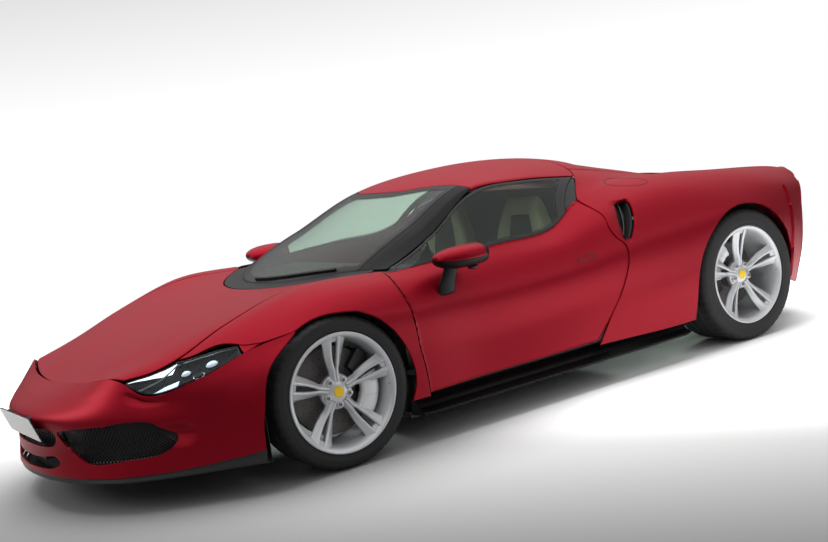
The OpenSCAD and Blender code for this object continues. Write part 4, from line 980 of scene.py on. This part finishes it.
stations = np.array([-555., -562, -570, -580, -595, -612, -632, -655, -680, -705, -730, -755, -774, -790])
s = np.linspace(0, 1, 12)[:, None]
foot = np.array([[-627, 921, 652], [-629, 935, 700], [-640, 948, 740], [-650, 955, 778]], float)
path_at = np.stack([np.interp(s[:, 0] * 3, np.arange(4), foot[:, i]) for i in range(3)], axis=-1)
leg = car(path_at[:, 0:1] + 48 * np.cos(ring_at) * (1 - .2 * s), path_at[:, 1:2] + 15 * np.sin(ring_at) * (1 - .1 * s),
          path_at[:, 2:3] + 0 * ring_at)
for tag, sign in (("left", 1), ("right", -1)):
    flip, body = np.array([1, sign, 1]), f"door_{tag}"
    tube(f"mirror_shell_{tag}", housing(ring_at, 0, stations) * flip, black_satin, body, "black",
         [f"mirror_{tag}"])
    cap = tube(f"mirror_cap_{tag}", housing(np.linspace(-.16, math.pi + .16, 44), 1.6, stations[:-1]) * flip, paint,
               body, "paint", caps=False, closed=False)
    wall = cap.modifiers.new("wall", "SOLIDIFY")
    wall.thickness, wall.offset = .0014, -1
    tube(f"mirror_face_{tag}", np.stack([housing(ring_at, -g, np.array([-790.]))[0] - [d, 0, 0] for g, d in
                                         ((6, 0), (6, .001), (9, .0016))]) * flip, mirror_glass, body, "glass")
    tube(f"mirror_stalk_{tag}", leg * flip, black_satin, body, "black")
    f = np.linspace(.05, math.pi - .05, 12)[:, None]
    pod = car(-735 + 26 * np.cos(f) + 0 * ring_at, 1010 + 24 * np.sin(f) * np.cos(ring_at),
              762 + 13 * np.sin(f) * np.sin(ring_at))
    tube(f"mirror_pod_{tag}", pod * flip, black_gloss, body, "black")

# side blades
blade_u = np.concatenate([np.linspace(-2150, -2090, 8), np.linspace(-2070, -500, 30), np.linspace(-470, -405, 8)])[:, None]
blade = np.array([[825.3, 120], [905, 124], [935, 128], [950, 133.5], [952, 138], [948, 142.5], [925, 150], [900, 160],
                  [888, 175], [874, 187], [856, 193], [840, 196], [825.3, 196]])
full = np.interp(blade_u, [-2150, -2090, -470, -405], [.80, 1, 1, .88])
for tag, sign in (("left", 1), ("right", -1)):
    edge = tube(f"side_blade_{tag}", car(blade_u, 825.3 + (blade[:, 0] - 825.3) * full, blade[:, 1])
                * np.array([1, sign, 1]), black_satin, "body", "black", ["side_skirts"], smooth=False)
    roll_edge(edge, .0012)

# flaps that close the nose before the front wheels
flap_y, flap_z = np.linspace(560, 925, 20)[:, None], np.linspace(128, 330, 12)[None]
skin("front_arch_flaps", [car(378 + 0 * flap_y, flap_y, flap_z)], black_matt, "body", "black", thick=0.004, bevel=0.001,
     both=True)

# bare number plate on its holder
plate_v, plate_r = np.linspace(-1, 1, 3), ring_at
px_, pz_ = oval(plate_r, 1, 1)
for name, w, h, d0, d1, material in (("plate_holder", 239, 59, 0, 6, black_matt), ("number_plate", 236, 56, 6, 8, plate_white)):
    py = w * np.sign(np.cos(plate_r)) * np.abs(np.cos(plate_r)) ** .12
    pz = h * np.sign(np.sin(plate_r)) * np.abs(np.sin(plate_r)) ** .12
    tube(name, np.stack([car(1136 + .34 * pz + d, py, 380 + pz) for d in (d0, d1)]), material, "body", "black", smooth=False)
for tag, y in (("left", 150), ("right", -150)):
    tube(f"plate_bracket_{tag}", np.stack([car(u, y + 20 * np.cos(plate_r), 425 + 8 * np.sin(plate_r)) for u in (1085, 1144)]),
         black_matt, "body", "black")


def seam_loop(name, w, body, width=.0042):
    """A shut line: a closed path in side parameters, drawn as a thin dark bead that lies in the panel."""
    w = np.asarray(w, float)
    pos = side(w[:, 0], w[:, 1])
    d = 1e-3
    n = np.cross(side(w[:, 0] + d, w[:, 1]) - pos, side(w[:, 0], w[:, 1] + d) - pos)
    n /= np.linalg.norm(n, axis=-1, keepdims=True)
    n *= np.sign((n * np.array([0, 1, .3])).sum(axis=-1, keepdims=True))
    run = np.roll(pos, -1, axis=0) - np.roll(pos, 1, axis=0)
    over = np.cross(n, run / np.linalg.norm(run, axis=-1, keepdims=True))
    turn = np.linspace(0, 2 * math.pi, 6, endpoint=False)
    bead = (pos + .0003 * n)[:, None] + width / 2 * (np.cos(turn)[None, :, None] * over[:, None]
                                       + .35 * np.sin(turn)[None, :, None] * n[:, None])
    for tag, sign in (("left", 1), ("right", -1)):
        tube(f"{name}_{tag}", bead * np.array([1, sign, 1]), seal_rubber, body.replace("left", tag), "black", caps=False,
             loop=True)


corner_pq = np.array([[3.758, 7.16], [3.748, 7.398], [3.83, 7.487], [3.901, 7.487], [3.961, 7.261], [3.86, 7.15]])
around = np.linspace(0, 6, 90, endpoint=False)
seam_loop("handle_outline", np.stack([np.interp(around % 6, np.arange(7), np.append(corner_pq[:, i], corner_pq[0, i]))
                                      for i in (0, 1)], axis=-1), "door_left")
hub = np.array([1.967, 8.83])
step = np.stack([(side(hub[0] + .01, hub[1]) - side(*hub)) * 100, (side(hub[0], hub[1] + .01) - side(*hub)) * 100])
first = step[0] / np.linalg.norm(step[0])
second = step[1] - (step[1] @ first) * first
second /= np.linalg.norm(second)
circle = np.linspace(0, 2 * math.pi, 80, endpoint=False)[:, None]
reach_to = .066 * np.cos(circle) * first + .098 * np.sin(circle) * second
seam_loop("fuel_flap_outline", hub + np.linalg.lstsq(step.T, reach_to.T, rcond=None)[0].T, "body")

# black corner panels before and behind the door glass
a, b, c = np.array([2.10, 4.17]), np.array([1.36, 4.88]), np.array([2.05, 4.60])
i, j = np.linspace(0.02, 1, 16)[:, None, None], np.linspace(0, 1, 14)[None, :, None]
corner = a + i * ((b - a) * (1 - j) + (c - a) * j)
for tag, sign in (("left", 1), ("right", -1)):
    skin(f"mirror_corner_{tag}", [lifted(on(side, corner), .0022) * np.array([1, sign, 1])], black_satin,
         f"door_{tag}", "black", thick=0.002, bevel=0.0005)
skin("rear_corner_panels", [lifted(side(np.linspace(1.06, 1.93, 16)[:, None], np.linspace(7.66, 8.12, 12)[None]), -.0095)],
     black_gloss, "body", "black", thick=0.002, bevel=0.0005, both=True)

# %% [markdown]
# ## Seats
# A seat is a lofted, stuffed form: one closed profile is carried across the car, dished in the middle
# between two bolsters and drawn in at its sides. The outer parts are cream leather, the centre is black.

# %% Seats
profile = np.array([(398, 150), (398, 318), (370, 330), (150, 318), (-60, 308), (-120, 330), (-190, 430), (-268, 620),
                    (-297, 890), (-328, 972), (-350, 984), (-372, 972), (-398, 925), (-380, 620), (-262, 360),
                    (-165, 150), (-120, 137), (360, 137)], float)
closed_profile = np.concatenate([profile, profile[:1]])
length = np.concatenate([[0], np.cumsum(np.linalg.norm(np.diff(closed_profile, axis=0), axis=1))])
at_k = np.linspace(0, length[-1], 110, endpoint=False)
px_k, pz_k = (np.interp(at_k, length, closed_profile[:, i]) for i in (0, 1))
for _ in range(2):
    px_k, pz_k = ((np.roll(v, 1) + 2 * v + np.roll(v, -1)) / 4 for v in (px_k, pz_k))
front_side = np.clip(np.minimum(at_k - length[2], length[9] - at_k) / 60, 0, 1)
across_v = np.concatenate([[-1, -.985], np.linspace(-.95, .95, 41), [.985, 1]])[:, None]
width = np.interp(pz_k, [130, 300, 700, 800, 900, 985], [225, 233, 228, 200, 150, 118])
middle_x, middle_z = np.interp(pz_k, [137, 320, 620, 985], [-60, -130, -325, -350]), pz_k
low = pz_k < 325
shrink = (1 - np.abs(across_v) ** 10) ** .5
dish = 34 * front_side * (1 - np.clip(np.abs(across_v) / .62, 0, 1) ** 3)
seat_x = np.where(low, px_k - 20 * (1 - shrink) * np.sign(px_k), middle_x + (px_k - middle_x) * (.35 + .65 * shrink))
seat_x = seat_x - dish * np.where(pz_k > 340, 1, 0)
seat_z = pz_k - dish * np.where(pz_k <= 340, 1, 0) - np.where(low, 28, 6) * (1 - shrink) * front_side
for tag, sign in (("left", 1), ("right", -1)):
    seat = tube(f"seat_{tag}", car(-1240 + seat_x, 360 * sign + across_v * width, seat_z), cream, "body", "hide",
                ["seats"])
    seat.data.materials.append(hide_dark)
    centre = (np.abs(across_v[:-1, 0]) < .5)[:, None] & (front_side > .5)[None] & (pz_k < 860)[None]
    index = np.zeros(len(seat.data.polygons), np.int32)
    index[:centre.size] = centre.reshape(-1)
    seat.data.polygons.foreach_set("material_index", index)
print("trim made")

# %% [markdown]
# ## Wheels
# The rim is a turned profile. Each spoke is a pair of ribs that part on the way out and flare into the
# dish of the rim, with a dark slot between them. Everything is computed about the wheel's own axle and
# then carried to its corner of the car.

# %% Wheel helpers
CORNERS = {"fl": (X_FRONT, .8325, .340, 1, "front_wheel_left", "front_upright_left"),
           "fr": (X_FRONT, -.8325, .340, -1, "front_wheel_right", "front_upright_right"),
           "rl": (X_REAR, .816, .361, 1, "rear_wheel_left", "body"),
           "rr": (X_REAR, -.816, .361, -1, "rear_wheel_right", "body")}


def place(v, corner):
    x, y, z, s = CORNERS[corner][:4]
    v = np.asarray(v).reshape(-1, 3) * np.array([1, s, 1])
    return v + np.array([x, y, z])


def revolve(profile, n, start=0.0, sweep=2 * math.pi):
    """Profile points (radius, y) turned about the axle: x = r sin a, z = r cos a."""
    r, y = np.array(profile, float).T * MM
    full = abs(sweep - 2 * math.pi) < 1e-6
    a = start + np.linspace(0, sweep, n, endpoint=not full)[:, None]
    return np.stack([r * np.sin(a), np.broadcast_to(y, (n, len(r))), r * np.cos(a)], axis=-1)


def rounded(profile, step=6.0):
    """A polyline with extra points, so that it turns and shades smoothly."""
    p = np.array(profile, float)
    out = []
    for a, b in zip(p[:-1], p[1:]):
        k = max(1, int(np.ceil(np.linalg.norm(b - a) / step)))
        out.append(a + (b - a) * np.linspace(0, 1, k, endpoint=False)[:, None])
    return np.concatenate(out + [p[-1:]])


def wheel_mesh(name, chunks, corner, material, body, slot, replaces=(), smooth=True):
    """chunks = list of (points, faces); faces are turned over on the right side of the car."""
    s = CORNERS[corner][3]
    v, f, count = [], [], 0
    for points, faces in chunks:
        points = np.asarray(points).reshape(-1, 3)
        v.append(place(points, corner))
        for block in faces:
            f.append((block if s > 0 else block[:, ::-1]) + count)
        count += len(points)
    return mesh_piece(name, np.concatenate(v), f, material, body, slot, replaces, smooth)


def ring_loft(sections):
    """Closed sections (k, m, 3) to a tube with end caps fanned as one n-gon each."""
    k, m = sections.shape[:2]
    f = quads(k, m, close_j=True)
    ends = [np.arange(m)[None, ::-1], np.arange((k - 1) * m, k * m)[None]]
    return sections, [f] + ends


def turned_by(g, angle):
    c, d = math.cos(angle), math.sin(angle)
    return np.stack([g[..., 0] * c + g[..., 2] * d, g[..., 1], -g[..., 0] * d + g[..., 2] * c], axis=-1)


def rib(lip, angle, lean):
    """One rib of a twin spoke, radius 50 to 260 mm; lean is -1 or 1, the side it parts to.
    Section: a rounded ridge at the slot, a broad flank that falls away outwards, and a thin back."""
    s = np.linspace(0, 1, 34)
    r = 46 + 214 * s
    slot = np.interp(s, [0, .24, .34, .55, .8, .9, 1], [0, 0, 5, 11, 13.5, 13, 12])
    ridge = np.interp(s, [0, .3, .8, 1], [15, 15, 17, 18])
    flank = np.interp(s, [0, .25, .55, .8, .9, 1], [12, 10, 17, 24, 33, 52])
    front = lip - 50 + 8 * s + 40 * s ** 2.4
    deep = np.interp(s, [0, .5, 1], [36, 32, 18])
    across = np.stack([slot, slot, slot + .10 * ridge, slot + .35 * ridge, slot + .7 * ridge, slot + ridge,
                       slot + ridge + .25 * flank, slot + ridge + .65 * flank, slot + ridge + flank,
                       slot + ridge + flank, slot + ridge + .5 * flank], axis=1)
    drop = np.array([1.0, .22, .06, 0, .02, .12, .30, .46, .58, .80, 1.0])
    g = np.stack([lean * across, front[:, None] - deep[:, None] * drop, np.broadcast_to(r[:, None], across.shape)],
                 axis=-1) * MM
    g = turned_by(g, angle)
    return facing_ring(ring_loft(g))


def bridge(lip, angle):
    """The web that closes a spoke's slot where it runs into the rim."""
    s = np.linspace(0, 1, 10)
    r = 226 + 32 * s
    half = np.interp(s, [0, 1], [15, 16])
    front = lip - 50 + 8 * (r - 46) / 214 + 40 * ((r - 46) / 214) ** 2.4 - 9 + 7 * s
    x = np.stack([-half, -half * .5, half * 0, half * .5, half, half, -half], axis=1)
    drop = np.array([0, 2.0, 2.6, 2.0, 0, 12, 12])
    g = np.stack([x, front[:, None] - drop, np.broadcast_to(r[:, None], x.shape)], axis=-1) * MM
    return facing_ring(ring_loft(turned_by(g, angle)))


def cylinder(x, z, y0, y1, r, n=28, r_top=None):
    """Closed round boss along the axle's direction, at x, z, in millimetres."""
    r_top = r if r_top is None else r_top
    p = [(0.01, y0), (r, y0), (r, y0 + (y1 - y0) * .5), (r_top, y1 - .4), (r_top - .5, y1), (0.01, y1)]
    g = revolve(p, n) + np.array([x, 0, z]) * MM
    return g, [quads(n, len(p), close_i=True)]


def turned(profile, n=160, closed=True):
    g = revolve(profile, n)
    return g, [quads(n, len(profile), close_i=True, close_j=closed)]


# %% Wheels, discs and hubs
def build_wheel(corner, width, lip, disc):
    body = CORNERS[corner][4]
    w = width / 2
    rim_profile = rounded([(263, lip), (259, lip - 1.0), (253, lip - 4), (246, lip - 11), (240, lip - 24), (236, lip - 42),
                           (233, lip - 64), (232, -w + 58), (246, -w + 40), (246, -w + 5), (267, -w + 4.5), (268, -w + 9),
                           (255, -w + 10), (254.2, -w + 36), (243, -w + 56), (243, w - 58), (254.2, w - 38),
                           (254.2, w - 9), (268, w - 9), (268, lip - 3), (266.5, lip - .4)])
    chunks = [turned(rim_profile, 200)]
    for k in range(5):
        chunks.append(bridge(lip, math.radians(72 * k)))
        for lean in (-1, 1):
            chunks.append(rib(lip, math.radians(72 * k), lean))
    hub = [(0.01, lip - 50), (26, lip - 50), (30, lip - 50.5), (40, lip - 53), (56, lip - 58), (74, lip - 66), (80, lip - 72),
           (78, lip - 96), (32, lip - 98), (31, 20), (0.01, 20)]
    chunks.append(turned(rounded(hub, 8), 96, closed=False))
    for k in range(5):
        a = math.radians(36 + 72 * k)
        chunks.append(cylinder(57 * math.sin(a), 57 * math.cos(a), lip - 90, lip - 52, 17.5, 32, 16.0))
    chunks = [facing_ring(c) for c in chunks]
    wheel_mesh(f"rim_{corner}", chunks, corner, alloy, body, "alloy", [f"wheel_{corner}"])
    bolts = []
    for k in range(5):
        a = math.radians(36 + 72 * k)
        x, z = 57 * math.sin(a), 57 * math.cos(a)
        bolts.append(facing_ring(cylinder(x, z, lip - 60, lip - 47.5, 11.5, 28, 9.5)))
    wheel_mesh(f"wheel_bolts_{corner}", bolts, corner, bolt_steel, body, "alloy")
    # The sockets are black hexagons on the bolt heads: painted shade that stands for the dark inside the recesses.
    wheel_mesh(f"bolt_socket_painted_shade_{corner}", [facing_ring(cylinder(57 * math.sin(math.radians(36 + 72 * k)),
               57 * math.cos(math.radians(36 + 72 * k)), lip - 50, lip - 47.2, 5.0, 6, 5.0)) for k in range(5)],
               corner, black_matt, body, "alloy")
    cap = [(0.01, lip - 45.2), (14, lip - 45.3), (23, lip - 46.2), (25, lip - 48), (25, lip - 52), (0.01, lip - 52)]
    wheel_mesh(f"centre_cap_{corner}", [facing_ring(turned(rounded(cap, 4), 64, closed=False))], corner, yellow, body,
               "alloy")
    hat = rounded([(0.01, 25), (70, 25), (73, 22), (74, 4), (disc - 2, 4), (disc, 2), (disc, -8), (disc - 6, -9),
                   (disc - 6, -19), (disc, -20), (disc, -28), (disc - 2, -30), (76, -30), (62, -30), (62, 20), (0.01, 20)], 9)
    wheel_mesh(f"brake_disc_{corner}", [facing_ring(turned(hat, 128, closed=False))], corner, disc_ceramic, body, "alloy")
    # The drillings are black discs on the disc's face: painted shade that stands for the dark inside the holes.
    holes = []
    for row in range(7):
        for k in range(12):
            a = 2 * math.pi * (k + row * .36) / 12
            r = 92 + (disc - 108) * row / 6
            holes.append(facing_ring(cylinder(r * math.sin(a), r * math.cos(a), 2.0, 4.25, 3.2, 10)))
    wheel_mesh(f"disc_hole_painted_shade_{corner}", holes, corner, black_matt, body, "alloy")
    valve = facing_ring(cylinder(-244, -18, lip - 44, lip - 14, 4.2, 16, 3.4))
    wheel_mesh(f"valve_{corner}", [valve], corner, bolt_steel, body, "alloy")


def facing_ring(chunk):
    """Turns a chunk's faces over when its signed volume is negative."""
    v, f = chunk
    v = np.asarray(v).reshape(-1, 3)
    c = v - v.mean(0)
    volume = 0.0
    for block in f:
        a = c[block[:, 0]]
        for k in range(1, block.shape[1] - 1):
            volume += (a * np.cross(c[block[:, k]], c[block[:, k + 1]])).sum()
    return (v, [b[:, ::-1] for b in f]) if volume < 0 else (v, f)


def build_tyre(corner, radius, width):
    """Tyre carcass with its shoulder; the tread's grooves are rows of the same grid pushed in."""
    h, n = width / 2, 288
    body = CORNERS[corner][4]
    half_side = [(256, h - 34), (257, h - 16), (262, h - 10.5), (268.5, h - 9.5), (271, h - 7.5), (273, h - 3), (276, h - 1.5),
                 (279, h - 3.2), (290, h - .6), (300, h), (radius - 30, h - 1.5), (radius - 24, h - 4), (radius - 22, h - 3.6),
                 (radius - 12, h - 11), (radius - 6, h - 18), (radius - 2.2, h - 30)]
    across = [h - 34]
    tread = []
    inner = h - 34
    grooves = [-.58, -.2, .2, .58]
    ys = np.linspace(inner, -inner, 49)
    for y in ys:
        d = min(abs(y / inner - g) for g in grooves) * inner
        tread.append((radius - 1.2 * (y / inner) ** 2 - (6.5 if d < 4.6 else 0.0), y))
    profile = rounded(half_side, 7).tolist() + tread + rounded([(r, -y) for r, y in half_side][::-1], 7).tolist()
    g = revolve(profile, n)
    k = np.arange(n)[:, None]
    r, y = np.array(profile).T
    shoulder = (r > radius - 20) & (np.abs(y) > inner * .70)
    slot = (k % 6 == 0) & shoulder[None]
    scale = np.where(slot, 1 - 4.5 / radius, 1.0)
    g[..., 0] *= scale
    g[..., 2] *= scale
    bore = revolve([(256, -h + 34), (290, -h + 20), (radius - 16, -h + 34), (radius - 16, h - 34), (290, h - 20), (256, h - 34)], n)
    both = np.concatenate([g, bore], axis=1)
    chunk = facing_ring((both, [quads(n, both.shape[1], close_i=True, close_j=True)]))
    obj = wheel_mesh(f"tyre_{corner}_tread", [chunk], corner, rubber, body, "tyre", [f"tyre_{corner}"])
    return obj


for corner in CORNERS:
    front = corner[0] == "f"
    build_wheel(corner, 245 if front else 305, 121.5 if front else 146.5, 199 if front else 180)
    build_tyre(corner, 340 if front else 361, 245 if front else 305)
print("wheels made")


# %% Calipers
def build_caliper(corner, disc, d):
    """Caliper body: an arc of a rounded section that straddles the disc, with a bridge and two ribs."""
    body = CORNERS[corner][5]
    mid = math.radians(90 - 32 + 32) if d > 0 else 0
    centre = math.radians(-106) if d < 0 else math.radians(58)
    a0, a1 = centre - math.radians(33), centre + math.radians(33)
    profile = [(124, 30), (124, 56), (130, 66), (142, 70), (disc - 6, 70), (disc + 8, 65), (disc + 15, 54), (disc + 16, 40),
               (disc + 16, -34), (disc + 10, -40), (128, -40), (124, -34), (124, -8), (disc + 5, -8), (disc + 5, 30)]
    n = 34
    g = revolve(profile, n, a0, a1 - a0)
    s = np.linspace(0, 1, n)
    wave = 1 - .02 * (np.abs(((s * 3) % 1) - .5) < .12)
    g[:, :8] *= np.stack([np.ones(n), wave, np.ones(n)], -1)[:, None]
    m = len(profile)
    f = [quads(n, m, close_j=True), np.arange(m)[None, ::-1], np.arange((n - 1) * m, n * m)[None]]
    obj = wheel_mesh(f"caliper_{corner}", [facing_ring((g, f))], corner, caliper_paint, body, "cast")
    roll_edge(obj, 0.003, 2, 35)


for corner in CORNERS:
    build_caliper(corner, 199 if corner[0] == "f" else 180, -1 if corner[0] == "f" else 1)

# %% [markdown]
# ## Carried-over CAD pieces
# Nodes whose CAD shape is already right keep it and only get a finish.

# %% CAD finishes
CAD_FINISH = {"tub": chassis, "exhaust": exhaust_steel, "diffuser": carbon, 
              "splitter": carbon, "arch_liners": liner_felt, "knuckle_fl": cast_iron, "knuckle_fr": cast_iron,
              "rear_uprights": cast_iron, "suspension_arms": chassis, "dashboard": hide_dark,
              "steering_wheel": hide_dark, "engine_block": alloy_dark, "wipers": black_matt}
for node, material in CAD_FINISH.items():
    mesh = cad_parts[node].data
    mesh.materials.clear()
    mesh.materials.append(material)

# %% [markdown]
# ## Studio
# A white sweep: a pale floor that keeps the shadow and has painted shade in its colour, darker towards
# the camera; a backdrop that is only seen by the camera and in reflections, greyed towards the top as
# painted shade; one large soft light overhead and a long one in front for the highlight on the bonnet.

# %% Floor, backdrop and lights
floor_material = finish("painted_studio_floor", "F2F2F2", 0.7)
floor_tree = floor_material.node_tree
place_on_floor = add(floor_tree, "ShaderNodeTexCoord")
# Painted shade: the floor's colour grows darker towards the camera, standing in for light that falls off there.
towards_camera = add(floor_tree, "ShaderNodeVectorMath", {"operation": "DOT_PRODUCT"},
                     i0=place_on_floor.outputs["Object"], i1=(0.837, 0.547, 0))
floor_painted_shade_near = add(floor_tree, "ShaderNodeMapRange", {"interpolation_type": "SMOOTHSTEP"}, Value=towards_camera.outputs["Value"],
                From_Min=0.2, From_Max=1.3, To_Min=0.9, To_Max=0.38)
floor_painted_shade_far = add(floor_tree, "ShaderNodeMapRange", {"clamp": True}, Value=towards_camera.outputs["Value"],
               From_Min=1.0, From_Max=2.5, To_Min=1.0, To_Max=0.36)
shade = add(floor_tree, "ShaderNodeMath", {"operation": "MULTIPLY"}, i0=floor_painted_shade_near.outputs[0], i1=floor_painted_shade_far.outputs[0])
reach = add(floor_tree, "ShaderNodeVectorMath", {"operation": "LENGTH"}, i0=place_on_floor.outputs["Object"])
fade = add(floor_tree, "ShaderNodeMapRange", {"interpolation_type": "SMOOTHSTEP"}, Value=reach.outputs["Value"],
           From_Min=3.3, From_Max=5.4)
sheet = floor_tree.nodes["Principled BSDF"]
sheet.inputs["Specular IOR Level"].default_value = 0.15
floor_tree.links.new(shade.outputs[0], sheet.inputs["Base Color"])
gone = add(floor_tree, "ShaderNodeBsdfTransparent")
sweep = add(floor_tree, "ShaderNodeMixShader", i0=fade.outputs[0], i1=sheet.outputs[0], i2=gone.outputs[0])
floor_tree.links.new(sweep.outputs[0], floor_tree.nodes["Material Output"].inputs["Surface"])
floor_mesh = bpy.data.meshes.new("studio_floor")
floor_mesh.from_pydata([(-14, -14, 0), (14, -14, 0), (14, 14, 0), (-14, 14, 0)], [], [(0, 1, 2, 3)])
floor_mesh.materials.append(floor_material)
floor = bpy.data.objects.new("studio_floor", floor_mesh)
bpy.context.collection.objects.link(floor)

world = bpy.data.worlds.new("studio")
bpy.context.scene.world = world
world.use_nodes = True
tree = world.node_tree
tree.nodes.clear()
where = add(tree, "ShaderNodeTexCoord")
split = add(tree, "ShaderNodeSeparateXYZ", Vector=where.outputs["Generated"])
# Painted shade: what the camera sees of the backdrop is greyed towards the top.
backdrop_painted_shade = add(tree, "ShaderNodeMapRange", {"clamp": True}, Value=split.outputs["Z"], From_Min=0.05, From_Max=0.17,
           To_Min=1.0, To_Max=0.68)
seen = add(tree, "ShaderNodeBackground", Color=(1, 1, 1, 1), Strength=backdrop_painted_shade.outputs["Result"])
lift = add(tree, "ShaderNodeMapRange", {"clamp": True}, Value=split.outputs["Z"], From_Min=0.0, From_Max=0.95,
           To_Min=0.10, To_Max=1.0)
fill = add(tree, "ShaderNodeBackground", Color=(1, 1, 1, 1), Strength=lift.outputs["Result"])
path = add(tree, "ShaderNodeLightPath")
eye = add(tree, "ShaderNodeMath", {"operation": "MAXIMUM"}, i0=path.outputs["Is Camera Ray"],
          i1=path.outputs["Is Transmission Ray"])
both = add(tree, "ShaderNodeMixShader", i0=eye.outputs[0], i1=fill.outputs[0], i2=seen.outputs[0])
out = add(tree, "ShaderNodeOutputWorld", Surface=both.outputs[0])
bpy.context.scene.view_settings.view_transform = "Standard"


def soft_light(name, place, target, size, power, mirrored_in_gloss=True):
    data = bpy.data.lights.new(name, "AREA")
    data.shape, data.size, data.size_y, data.energy = "RECTANGLE", size[0], size[1], power
    lamp = bpy.data.objects.new(name, data)
    bpy.context.collection.objects.link(lamp)
    lamp.location = place
    lamp.visible_glossy = mirrored_in_gloss
    lamp.rotation_euler = (Vector(target) - Vector(place)).to_track_quat("-Z", "Y").to_euler()


soft_light("overhead_bank", (-0.6, -0.6, 4.4), (-0.6, -0.6, 0), (8.0, 4.0), 800, mirrored_in_gloss=False)
soft_light("front_bank", (6.0, -1.5, 3.0), (1.2, 0, .5), (3.0, 2.0), 70)
soft_light("side_bank", (-3.5, 6.0, 2.6), (-.5, .6, .6), (4.0, 1.6), 30)
